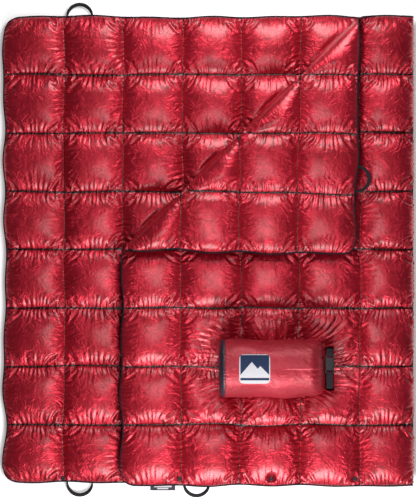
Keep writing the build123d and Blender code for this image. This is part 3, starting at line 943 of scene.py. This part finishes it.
def build_snaps():
    """Rounded snap caps with a rim and a dimple, on their sockets and studs."""
    for layer in ("lower", "upper"):
        low, high = cad_box(f"{layer}_snap_caps")
        profile_r = np.array([0.0, 1.6, 2.4, 3.2, 4.6, 5.4, 5.9, 6.0, 5.8])
        profile_z = np.array([-0.55, -0.5, -0.1, 0.0, -0.05, -0.3, -0.8, -1.5, -2.1])
        turn = np.linspace(0, 2 * np.pi, 28, endpoint=False)
        points, faces = [], []
        for snap_x in SNAP_X[layer]:
            for top in (True, False):
                z = (high[2] + profile_z) if top else (low[2] - profile_z - 1.2)
                ring = np.stack([
                    snap_x + profile_r[:, None] * np.cos(turn),
                    SNAP_Y + profile_r[:, None] * np.sin(turn),
                    np.broadcast_to(z[:, None], (len(z), len(turn))),
                ], -1).reshape(-1, 3)
                quads = grid_quads(len(z), len(turn), closed_j=True)
                faces.append((quads if top else quads[:, ::-1]) + len(ring) * len(points))
                points.append(ring)
        piece = mesh_piece(f"{layer}_snaps", np.concatenate(points), np.concatenate(faces), "snap")
        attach(piece, f"{layer}_panel")
        inner = "lower_snap_sockets" if layer == "lower" else "upper_snap_studs"
        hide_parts(f"{layer}_snap_caps", inner)


# ---------------------------------------------------------------- the stuff sack
BASE_SEAM_X = cad_box("sack_base")[1][0]
SACK_MOUTH_X = cad_box("sack_body")[1][0]


def sack_profile(count):
    """Along the sack from the middle of its base to its mouth: place, and size across and up."""
    round_off = 15.0
    shoulder = 44.0
    base_steps, shoulder_steps = 14, 30
    flat = np.linspace(0.02, 1, base_steps) * (SACK_RADIUS - round_off)
    bend = np.linspace(0, np.pi / 2, base_steps)[1:]
    straight = np.linspace(SACK_LEFT + round_off, SACK_MOUTH_X - shoulder, count)[1:]
    close = np.linspace(0, 1, shoulder_steps)[1:]
    x = np.concatenate([
        np.full(base_steps, SACK_LEFT),
        SACK_LEFT + round_off * (1 - np.cos(bend)),
        straight,
        SACK_MOUTH_X - shoulder + shoulder * close,
    ])
    radius = np.concatenate([
        flat,
        SACK_RADIUS - round_off + round_off * np.sin(bend),
        np.full(count - 1, SACK_RADIUS),
        np.full(shoulder_steps - 1, SACK_RADIUS),
    ])
    along = np.clip((x - SACK_MOUTH_X + shoulder) / shoulder, 0, 1)
    across = 1 - 0.27 * along ** 3
    up = np.sqrt(np.clip(1 - along ** 2.2, 0, 1)) * 0.86 + 0.14
    return x, radius, radius * across, radius * np.minimum(up, 1)


def sack_surface():
    """The whole sack as a grid of points, station by station round its axis."""
    x, radius, wide, tall = sack_profile(120)
    turn = np.linspace(0, 2 * np.pi, 240, endpoint=False)
    x, turn_grid = np.meshgrid(x, turn, indexing="ij")
    wide, tall = wide[:, None], tall[:, None]
    arc = SACK_RADIUS * turn_grid
    full = smooth_step((radius[:, None] - 40) / 30)
    from_base = x - BASE_SEAM_X
    pucker = np.sin(66 * turn_grid + 2.0 * waves(arc, x, 60, 41)) * np.exp(-np.abs(from_base) / 9)
    groove = np.exp(-(from_base / 1.6) ** 2)
    from_mouth = SACK_MOUTH_X - x
    gather = np.sin(26 * turn_grid + 1.6 * waves(arc, x, 80, 43)) * smooth_step(1 - from_mouth / 62)
    broad = waves(0.5 * arc, x, 120, 45) * smooth_step(from_base / 40 + 0.4)
    slants = np.abs(waves(arc + 0.8 * x, 0.35 * x, 34, 47)) * smooth_step(1 - from_mouth / 120)
    swell = full * (0.9 * pucker - 1.3 * groove + 1.1 * gather + 1.3 * broad - 0.7 * slants - 1.0)
    patch_low, patch_high = cad_box("sack_patch")
    patch_middle = 0.5 * (patch_low[0] + patch_high[0])
    around = np.abs(SACK_RADIUS * np.arctan2(np.sin(turn_grid), np.cos(turn_grid)))
    near_patch = np.maximum(np.abs(x - patch_middle), around) - 0.5 * (patch_high[0] - patch_low[0])
    swell = np.where(near_patch < 22, -0.9 + (swell + 0.9) * smooth_step((near_patch - 2) / 20), swell)
    y = SACK_Y + (wide + swell) * np.sin(turn_grid)
    z = SACK_Z + (tall + swell) * np.cos(turn_grid)
    z = soft_max(z, SACK_FLOOR + 1.0, 5.0)
    return np.stack([x, y, z], -1), np.stack([x, arc], -1)


def build_sack_body():
    points, uv = sack_surface()
    rows, around = points.shape[:2]
    closing = np.concatenate([points, points[:, :1]], 1)
    closing_uv = np.concatenate([uv, uv[:, :1] + np.array([0, 2 * np.pi * SACK_RADIUS])], 1)
    triangles = grid_triangles(rows, around + 1)
    flat = closing.reshape(-1, 3)
    normals = vertex_normals(flat, triangles)
    seam = normals.reshape(rows, around + 1, 3)
    joined = seam[:, 0] + seam[:, -1]
    seam[:, 0] = seam[:, -1] = joined / (np.linalg.norm(joined, axis=1, keepdims=True) + 1e-9)
    middle = flat[triangles].mean(1)[:, 0]
    parts = (
        ("sack_base_cloth", middle < BASE_SEAM_X, "sack_navy", ("sack_base",)),
        ("sack_body_cloth", middle >= BASE_SEAM_X, "sack_fabric", ("sack_body", "sack_filling")),
    )
    for name, mask, slot, nodes in parts:
        piece = sheet_part(name, flat, normals, closing_uv.reshape(-1, 2), triangles[mask], slot)
        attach(piece, "stuff_sack")
        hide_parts(*nodes)


def build_patch():
    """The sewn patch follows the sack's round top."""
    low, high = cad_box("sack_patch")
    half = 0.5 * (high[0] - low[0])
    count = 48
    a, b = np.meshgrid(np.linspace(-1, 1, count), np.linspace(-1, 1, count), indexing="ij")
    corner = np.clip((np.minimum(np.abs(a), np.abs(b)) - 0.6) / 0.4, 0, 1)
    pull = 1 - 0.085 * corner ** 2
    u, v = half * a * pull, half * b * pull
    edge = np.maximum(np.abs(a), np.abs(b))
    lift = 1.0 * np.sqrt(np.clip(1 - edge ** 24, 0, 1)) + 0.15 * waves(u, v, 45, 51)
    radius = SACK_RADIUS + lift - 0.3
    angle = v / SACK_RADIUS
    centre = 0.5 * (low + high)
    x = centre[0] + u
    points = np.stack([x, SACK_Y + radius * np.sin(angle), SACK_Z + radius * np.cos(angle)], -1)
    piece = mesh_piece(
        "sack_patch_woven", points.reshape(-1, 3), grid_quads(count, count)[:, ::-1], "patch",
        uv=np.stack([u, v], -1).reshape(-1, 2),
    )
    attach(piece, "stuff_sack")
    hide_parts("sack_patch")


def u_path(half_width, low_z, high_z, bend, count=90):
    """A U in the plane across the sack's end, opening upward: y and z along it."""
    straight = np.linspace(high_z, low_z + bend, 12)
    angle = np.linspace(0, np.pi / 2, 16)[1:]
    y = np.concatenate([np.full(12, -half_width), -half_width + bend - bend * np.cos(angle)])
    z = np.concatenate([straight, low_z + bend - bend * np.sin(angle)])
    y = np.concatenate([y, -y[::-1]])
    z = np.concatenate([z, z[::-1]])
    run = np.concatenate([[0], np.cumsum(np.hypot(np.diff(y), np.diff(z)))])
    at = np.linspace(0, run[-1], count)
    return np.interp(at, run, y), np.interp(at, run, z)


def build_rolled_mouth():
    """The sack's mouth, rolled over three times and bent up at both ends."""
    low, high = cad_box("sack_rolled_mouth")
    thick = 12.0
    y, z = u_path(0.5 * (high[1] - low[1]) - thick / 2, low[2] + thick / 2, high[2] - 1.0, 32.0)
    centre = np.stack([np.full(len(y), 0.5 * (low[0] + high[0])), SACK_Y + y, z], 1)
    tangent = np.gradient(centre, axis=0)
    tangent /= np.linalg.norm(tangent, axis=1, keepdims=True)
    inward = np.cross(tangent, [1.0, 0, 0])
    turns = 2.6
    turn = np.linspace(0, 2 * np.pi * turns, 120)
    shrink = 1 - 0.3 * turn / turn[-1]
    across = 0.5 * (high[0] - low[0]) * shrink * np.sign(np.cos(turn)) * np.abs(np.cos(turn)) ** 0.75
    lift = 0.5 * thick * (1 - 0.85 * turn / turn[-1]) * np.sign(np.sin(turn)) * np.abs(np.sin(turn)) ** 0.75
    run = np.linspace(0, 1, len(centre))
    crease = 0.5 * waves(run[:, None] * 200, turn[None, :] * 4, 26, 61)
    rings = (
        centre[:, None] + (across[None, :, None]) * np.array([1.0, 0, 0])
        + (lift[None, :] + crease)[..., None] * inward[:, None]
    )
    uv = np.stack(np.broadcast_arrays(run[:, None] * 210, turn[None, :] * 9), -1)
    piece = mesh_piece(
        "sack_mouth_roll", rings.reshape(-1, 3), grid_quads(*rings.shape[:2]), "sack_fabric",
        uv=uv.reshape(-1, 2),
    )
    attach(piece, "stuff_sack")
    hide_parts("sack_rolled_mouth", "sack_stiffener")


def build_strap(node, tip_y, bar_y):
    """A webbing tab from the roll's end up to the buckle, round its bar and back."""
    low, high = cad_box(node)
    half = 0.5 * (high[0] - low[0]) - 0.5
    centre_x = 0.5 * (low[0] + high[0])
    sign = 1 if bar_y > tip_y else -1
    y = np.array([tip_y, tip_y + sign * 3, bar_y - sign * 8, bar_y - sign * 1, bar_y + sign * 1.6,
                  bar_y - sign * 1, bar_y - sign * 8, tip_y + sign * 5])
    z = np.array([low[2] + 0.2, low[2] + 2.2, high[2] - 1.6, high[2] - 0.9, 0.5 * (low[2] + high[2]),
                  low[2] + 1.0, low[2] + 1.4, low[2] + 0.9])
    at = np.linspace(0, len(y) - 1, 60)
    corner = np.arange(len(y))
    path = np.stack([np.full(60, centre_x), np.interp(at, corner, y), np.interp(at, corner, z)], 1)
    smooth = path.copy()
    for _ in range(6):
        smooth[1:-1] = 0.25 * smooth[:-2] + 0.5 * smooth[1:-1] + 0.25 * smooth[2:]
    across = np.tile([half, 0.0, 0.0], (60, 1))
    piece = ribbon(f"{node}_webbing", smooth, across, 1.5, "webbing")
    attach(piece, "stuff_sack")
    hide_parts(node)
    return piece


def build_straps():
    low, high = cad_box("buckle_female_strap")
    build_strap("buckle_female_strap", low[1], high[1] - 3.0)
    low, high = cad_box("buckle_male_strap")
    piece = build_strap("buckle_male_strap", high[1], low[1] + 3.0)
    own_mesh(piece)


def build_sack():
    build_sack_body()
    build_patch()
    build_rolled_mouth()
    build_straps()
    for node in ("buckle_female", "buckle_male"):
        buckle_half = frame["nodes"][node]
        buckle_half.data.materials.clear()
        buckle_half.data.materials.append(materials["buckle"])


# ---------------------------------------------------------------- materials
class Recipe:
    """Short calls for building one node material."""

    def __init__(self, name):
        self.material = bpy.data.materials.new(name)
        self.material.use_nodes = True
        self.tree = self.material.node_tree
        self.shader = self.tree.nodes["Principled BSDF"]

    def node(self, kind, **values):
        made = self.tree.nodes.new(kind)
        for key, value in values.items():
            setattr(made, key, value)
        return made

    def link(self, source, target):
        self.tree.links.new(source, target)

    def place(self, kind="Object", scale=(1, 1, 1), turn=0.0):
        """Texture coordinates, scaled and turned about Z."""
        coordinates = self.node("ShaderNodeTexCoord")
        mapping = self.node("ShaderNodeMapping")
        mapping.inputs["Scale"].default_value = scale
        mapping.inputs["Rotation"].default_value = (0, 0, turn)
        self.link(coordinates.outputs[kind], mapping.inputs["Vector"])
        return mapping.outputs["Vector"]

    def noise(self, where, scale, detail=3.0, roughness=0.5, distortion=0.0):
        made = self.node("ShaderNodeTexNoise")
        made.inputs["Scale"].default_value = scale
        made.inputs["Detail"].default_value = detail
        made.inputs["Roughness"].default_value = roughness
        made.inputs["Distortion"].default_value = distortion
        self.link(where, made.inputs["Vector"])
        return made.outputs["Fac"]

    def wave(self, where, scale, direction="X", distortion=0.0):
        made = self.node("ShaderNodeTexWave", wave_type="BANDS", bands_direction=direction)
        made.inputs["Scale"].default_value = scale
        made.inputs["Distortion"].default_value = distortion
        self.link(where, made.inputs["Vector"])
        return made.outputs["Fac"]

    def maths(self, operation, first, second):
        made = self.node("ShaderNodeMath", operation=operation)
        for socket, value in zip(made.inputs, (first, second)):
            if isinstance(value, (int, float)):
                socket.default_value = value
            else:
                self.link(value, socket)
        return made.outputs["Value"]

    def ramp(self, factor, stops):
        """Colours or greys along a factor; stops are (position, colour) pairs."""
        made = self.node("ShaderNodeValToRGB")
        elements = made.color_ramp.elements
        while len(elements) < len(stops):
            elements.new(0.5)
        for element, (position, colour) in zip(elements, stops):
            element.position = position
            element.color = (*colour, 1.0)
        self.link(factor, made.inputs["Fac"])
        return made.outputs["Color"]

    def painted_seam_shade(self, colour, distance, depth, start, end):
        """Painted shade in a seam's crease: darken a colour towards the seam, depth at start millimetres,
        nothing left by end.
        """
        scaled = self.maths("MULTIPLY", distance, 1 / (10 * MM))
        shade = self.ramp(scaled, ((start / 10, grey(depth)), (end / 10, grey(1.0))))
        mix = self.node("ShaderNodeMix", data_type="RGBA", blend_type="MULTIPLY")
        mix.inputs["Factor"].default_value = 1.0
        self.link(colour, mix.inputs["A"])
        self.link(shade, mix.inputs["B"])
        return mix.outputs["Result"]

    def bump(self, height, strength, distance, onto=None):
        made = self.node("ShaderNodeBump")
        made.inputs["Strength"].default_value = strength
        made.inputs["Distance"].default_value = distance
        self.link(height, made.inputs["Height"])
        if onto is not None:
            self.link(onto, made.inputs["Normal"])
        return made.outputs["Normal"]

    def set(self, **values):
        """Uniform values, straight on the shader's own sockets."""
        for key, value in values.items():
            self.shader.inputs[key.replace("_", " ")].default_value = value

    def finish(self, colour, normal=None, roughness=None):
        self.link(colour, self.shader.inputs["Base Color"])
        if normal is not None:
            self.link(normal, self.shader.inputs["Normal"])
        if roughness is not None:
            self.link(roughness, self.shader.inputs["Roughness"])
        return self.material


def grey(value):
    return (value, value, value)


def woven(recipe, where, threads, direction_pair=("X", "Y")):
    """Over-and-under weave height: two sets of threads, this many to the metre."""
    scale = threads / 10
    warp = recipe.wave(where, scale, direction_pair[0])
    weft = recipe.wave(where, scale, direction_pair[1])
    return recipe.maths("MULTIPLY", warp, weft)


def seam_distance(recipe, along, spacing):
    """How far a place along the cloth is from the nearest of evenly spaced seams, in metres."""
    return recipe.maths("PINGPONG", along, 0.5 * spacing * MM)


def pleat_height(recipe, cloth, along, to_seam, level):
    """Pleats that run out of a seam at wandering angles and fade by the middle of a square."""
    lean = recipe.noise(cloth, 17.0, detail=1.0)
    lean = recipe.maths("SUBTRACT", recipe.maths("MULTIPLY", lean, 3.6), 1.8)
    shifted = recipe.maths("ADD", along, recipe.maths("MULTIPLY", lean, to_seam))
    where = recipe.node("ShaderNodeCombineXYZ")
    recipe.link(shifted, where.inputs["X"])
    recipe.link(recipe.maths("MULTIPLY", to_seam, 0.14), where.inputs["Y"])
    where.inputs["Z"].default_value = level
    pleat = recipe.noise(where.outputs["Vector"], 95.0, detail=2.5, roughness=0.62)
    fade = recipe.ramp(recipe.maths("MULTIPLY", to_seam, 16.0), ((0.0, grey(1.0)), (1.0, grey(0.0))))
    return recipe.maths("MULTIPLY", pleat, fade)


def nylon(name, dark, mid, light, roughness=0.36, quilted=True, metallic=0.65, coat=0.65):
    """Thin glossy down-proof nylon: fine weave, small pleats along seams, uneven dye and painted shade in
    the seam creases.
    """
    recipe = Recipe(name)
    cloth = recipe.place("UV")
    blotches = recipe.noise(cloth, 9.0, detail=3.0)
    colour = recipe.ramp(blotches, ((0.3, dark), (0.5, mid), (0.72, light)))
    crinkle = recipe.noise(cloth, 60.0, detail=3.0, roughness=0.5, distortion=1.2)
    fine = recipe.noise(cloth, 260.0, detail=2.0)
    weave = woven(recipe, cloth, 1400)
    crumple = recipe.noise(cloth, 24.0, detail=4.0, roughness=0.6, distortion=1.4)
    crumple = recipe.maths("ABSOLUTE", recipe.maths("SUBTRACT", crumple, 0.5), 0.0)
    creased = recipe.bump(crinkle, 0.3, 0.003, recipe.bump(crumple, 0.8, 0.006))
    if quilted:
        split = recipe.node("ShaderNodeSeparateXYZ")
        recipe.link(cloth, split.inputs["Vector"])
        across, up = split.outputs["X"], split.outputs["Y"]
        to_upright = seam_distance(recipe, across, COLUMN)
        to_level = seam_distance(recipe, up, ROW)
        creased = recipe.bump(pleat_height(recipe, cloth, across, to_level, 0.0), 1.0, 0.0085, creased)
        creased = recipe.bump(pleat_height(recipe, cloth, up, to_upright, 0.7), 1.0, 0.0085, creased)
        # Painted shade: the colour is darkened along every seam's crease, deep on the level seams and
        # milder on the upright ones, with ragged edges.
        ragged = recipe.maths("MULTIPLY", recipe.noise(cloth, 110.0), 1.6)
        ragged = recipe.maths("ADD", ragged, recipe.maths("MULTIPLY", recipe.noise(cloth, 14.0), 1.6))
        ragged = recipe.maths("SUBTRACT", ragged, 0.55)
        colour = recipe.painted_seam_shade(colour, recipe.maths("MULTIPLY", to_level, ragged), 0.02, 1.3, 3.8)
        colour = recipe.painted_seam_shade(colour, recipe.maths("MULTIPLY", to_upright, ragged), 0.25, 0.6, 2.8)
    creased = recipe.bump(fine, 0.25, 0.0008, creased)
    creased = recipe.bump(weave, 0.25, 0.00012, creased)
    wear = recipe.noise(cloth, 30.0, detail=5.0)
    gloss = recipe.ramp(wear, ((0.25, grey(roughness - 0.05)), (0.8, grey(roughness + 0.09))))
    recipe.set(Metallic=metallic, Coat_Weight=coat, Coat_Roughness=roughness - 0.09)
    return recipe.finish(colour, creased, gloss)


def tape(name, dark, light, ribs=2500):
    """Woven edge tape: a dull ribbed weave with a little lint."""
    recipe = Recipe(name)
    cloth = recipe.place("UV")
    lint = recipe.noise(cloth, 400.0, detail=4.0)
    colour = recipe.ramp(lint, ((0.35, dark), (0.75, light)))
    weave = woven(recipe, cloth, ribs)
    normal = recipe.bump(weave, 0.6, 0.0004)
    recipe.set(Roughness=0.9, Specular_IOR_Level=0.15)
    return recipe.finish(colour, normal)


def thread(name, dark, light):
    recipe = Recipe(name)
    where = recipe.place()
    colour = recipe.ramp(recipe.noise(where, 300.0), ((0.3, dark), (0.7, light)))
    twist = recipe.wave(where, 200.0, "DIAGONAL")
    recipe.set(Roughness=0.8, Specular_IOR_Level=0.15)
    return recipe.finish(colour, recipe.bump(twist, 0.5, 0.0002))


def plastic(name, dark, light, roughness=0.38, grain=900.0):
    """Moulded plastic with a fine spark-eroded grain and faint scuffs."""
    recipe = Recipe(name)
    where = recipe.place()
    colour = recipe.ramp(recipe.noise(where, 60.0, detail=5.0), ((0.3, dark), (0.75, light)))
    pits = recipe.noise(where, grain, detail=2.0)
    scuffs = recipe.noise(where, 140.0, detail=5.0, distortion=1.5)
    gloss = recipe.ramp(scuffs, ((0.3, grey(roughness - 0.08)), (0.75, grey(roughness + 0.14))))
    recipe.set(Specular_IOR_Level=0.35)
    return recipe.finish(colour, recipe.bump(pits, 0.35, 0.0002), gloss)


def inside_band(recipe, value, low, high):
    """1 between two values and 0 outside them."""
    above = recipe.maths("GREATER_THAN", value, low)
    return recipe.maths("MULTIPLY", above, recipe.maths("LESS_THAN", value, high))


def two_tone(recipe, mask, plain, printed):
    mix = recipe.node("ShaderNodeMix", data_type="RGBA")
    recipe.link(mask, mix.inputs["Factor"])
    recipe.link(plain, mix.inputs["A"])
    recipe.link(printed, mix.inputs["B"])
    return mix.outputs["Result"]


def split_cloth(recipe, cloth):
    """The two cloth coordinates in millimetres."""
    split = recipe.node("ShaderNodeSeparateXYZ")
    recipe.link(cloth, split.inputs["Vector"])
    across = recipe.maths("MULTIPLY", split.outputs["X"], 1 / MM)
    up = recipe.maths("MULTIPLY", split.outputs["Y"], 1 / MM)
    return across, up


def patch_material():
    """Embroidered navy patch: pale border and foot, and two plain mountain peaks."""
    recipe = Recipe("patch_twill")
    cloth = recipe.place("UV")
    across, up = split_cloth(recipe, cloth)
    peaks = []
    for top, middle, slope in ((19.0, -8.0, 1.15), (8.0, 15.0, 1.0)):
        away = recipe.maths("ABSOLUTE", recipe.maths("SUBTRACT", across, middle), 0.0)
        line = recipe.maths("SUBTRACT", top, recipe.maths("MULTIPLY", away, slope))
        peaks.append(recipe.maths("GREATER_THAN", line, up))
    mountain = recipe.maths("MAXIMUM", peaks[0], peaks[1])
    mountain = recipe.maths("MULTIPLY", mountain, recipe.maths("GREATER_THAN", up, -24.0))
    side = recipe.maths("MAXIMUM", recipe.maths("ABSOLUTE", across, 0.0), recipe.maths("ABSOLUTE", up, 0.0))
    border = recipe.maths("GREATER_THAN", side, 38.5)
    foot = recipe.maths("LESS_THAN", up, -31.0)
    pale = recipe.maths("MAXIMUM", recipe.maths("MAXIMUM", mountain, border), foot)
    mottle = recipe.noise(cloth, 500.0, detail=3.0)
    navy = recipe.ramp(mottle, ((0.3, (0.010, 0.018, 0.050)), (0.7, (0.024, 0.045, 0.115))))
    silver = recipe.ramp(mottle, ((0.3, (0.52, 0.51, 0.56)), (0.7, (0.70, 0.69, 0.72))))
    ribs = recipe.wave(recipe.place("UV", turn=0.8), 160.0, "X")
    stitched = recipe.maths("ADD", recipe.maths("MULTIPLY", pale, 1.5), recipe.maths("MULTIPLY", ribs, 0.4))
    recipe.set(Roughness=0.7, Specular_IOR_Level=0.2)
    return recipe.finish(two_tone(recipe, pale, navy, silver), recipe.bump(stitched, 0.7, 0.0005))


def label_material():
    """Woven label: dark ground with two plain pale bars."""
    recipe = Recipe("label_woven")
    cloth = recipe.place("UV")
    across, up = split_cloth(recipe, cloth)
    upper = inside_band(recipe, up, -2.0, 3.0)
    lower = inside_band(recipe, up, -6.5, -3.5)
    long = inside_band(recipe, across, -24.0, 24.0)
    short = inside_band(recipe, across, -15.0, 15.0)
    upper_bar = recipe.maths("MULTIPLY", upper, long)
    lower_bar = recipe.maths("MULTIPLY", lower, short)
    bars = recipe.maths("MAXIMUM", upper_bar, lower_bar)
    mottle = recipe.noise(cloth, 700.0, detail=3.0)
    ground = recipe.ramp(mottle, ((0.3, (0.008, 0.006, 0.016)), (0.7, (0.025, 0.020, 0.040))))
    pale = recipe.ramp(mottle, ((0.3, (0.45, 0.42, 0.45)), (0.7, (0.72, 0.70, 0.72))))
    recipe.set(Roughness=0.65, Sheen_Weight=0.25)
    weave = recipe.bump(woven(recipe, cloth, 2200), 0.6, 0.0003)
    return recipe.finish(two_tone(recipe, bars, ground, pale), weave)


def make_materials():
    red = ((0.40, 0.006, 0.020), (0.49, 0.009, 0.028), (0.57, 0.013, 0.038))
    sack_red = ((0.33, 0.009, 0.022), (0.39, 0.012, 0.029), (0.44, 0.016, 0.037))
    materials["shell_fabric"] = nylon("shell_nylon", *red)
    materials["lining_fabric"] = nylon("lining_nylon", *red)
    materials["sack_fabric"] = nylon(
        "sack_nylon", *sack_red, roughness=0.46, quilted=False, metallic=0.4, coat=0.2
    )
    navy = ((0.010, 0.008, 0.018), (0.018, 0.013, 0.030), (0.030, 0.022, 0.045))
    materials["sack_navy"] = nylon(
        "sack_navy_nylon", *navy, roughness=0.42, quilted=False, metallic=0.2, coat=0.15
    )
    materials["binding"] = tape("binding_tape", (0.009, 0.007, 0.014), (0.030, 0.024, 0.040))
    materials["webbing"] = tape("webbing", (0.010, 0.009, 0.012), (0.040, 0.036, 0.042), ribs=1600)
    materials["thread"] = thread("quilting_thread", (0.035, 0.008, 0.011), (0.11, 0.035, 0.040))
    materials["snap"] = plastic("snap_plastic", (0.008, 0.008, 0.010), (0.018, 0.018, 0.020))
    materials["buckle"] = plastic("buckle_plastic", (0.010, 0.010, 0.012), (0.022, 0.022, 0.025))
    materials["patch"] = patch_material()
    materials["label"] = label_material()


# ---------------------------------------------------------------- stage, camera and light
def aim(thing, target):
    """Point a lamp or camera at a place, in metres."""
    away = np.array(thing.location) - np.array(target)
    flat = math.hypot(away[0], away[1])
    thing.rotation_euler = (math.atan2(flat, away[2]), 0, math.atan2(away[0], -away[1]) if flat else 0)


def softbox(name, place, target, size, power):
    lamp = bpy.data.lights.new(name, "AREA")
    lamp.shape = "RECTANGLE"
    lamp.size, lamp.size_y = size
    lamp.energy = power
    thing = bpy.data.objects.new(name, lamp)
    thing.location = place
    aim(thing, target)
    bpy.context.scene.collection.objects.link(thing)


CAMERA_HEIGHT = 12.0        # metres over the blanket
VIEW_HEIGHT = 1.3625        # what the picture covers from top to bottom, in metres


def build_stage():
    scene = bpy.context.scene
    bpy.ops.mesh.primitive_plane_add(size=40, location=(0, 0, 0))
    floor = bpy.context.object
    floor.name = "studio_floor"
    recipe = Recipe("studio_paper")
    recipe.set(Roughness=0.9, Emission_Color=(1, 1, 1, 1), Emission_Strength=0.35)
    paper = recipe.noise(recipe.place(), 3.0)
    recipe.finish(recipe.ramp(paper, ((0.3, grey(0.93)), (0.7, grey(0.95)))))
    floor.data.materials.append(recipe.material)

    world = bpy.data.worlds.new("studio")
    world.use_nodes = True
    world.node_tree.nodes["Background"].inputs["Color"].default_value = (1, 1, 1, 1)
    world.node_tree.nodes["Background"].inputs["Strength"].default_value = 0.05
    scene.world = world
    scene.view_settings.view_transform = "Standard"

    softbox("top_side", (0.15, 1.1, 0.85), (-0.1, 0.35, 0), (0.6, 0.5), 11)
    softbox("bottom_side", (0.1, -1.3, 0.9), (-0.05, -0.2, 0), (0.6, 0.5), 18)
    softbox("overhead", (0.05, -0.1, 1.2), (0, 0, 0), (0.6, 0.6), 4.5)

    camera = bpy.data.cameras.new("camera")
    camera.sensor_fit = "VERTICAL"
    camera.angle = 2 * math.atan(0.5 * VIEW_HEIGHT / CAMERA_HEIGHT)
    camera.clip_end = 60
    stand = bpy.data.objects.new("camera", camera)
    stand.location = (-0.0018, -0.0009, CAMERA_HEIGHT)
    scene.collection.objects.link(stand)
    scene.camera = stand


# ---------------------------------------------------------------- the build
def build_quilt():
    lower_count = LOWER_COLUMNS * ROWS
    upper_count = UPPER_COLUMNS * ROWS
    squares = inflate_all(lower_count + 2 * upper_count)
    lower_top = squares[:, :lower_count]
    shell = squares[:, lower_count:lower_count + upper_count]
    lining = squares[:, lower_count + upper_count:]
    lower_under = squares[:, ::-1][:, :lower_count]
    build_lower_layer(lower_top, lower_under)
    upper_mid = build_upper_layer(shell, lining)
    lower_mid = lower_middle()
    build_bindings(lower_mid, upper_mid)
    build_stitches(lower_mid, upper_mid)


make_materials()
build_stage()
build_quilt()
build_loops()
build_label()
build_snaps()
build_sack()
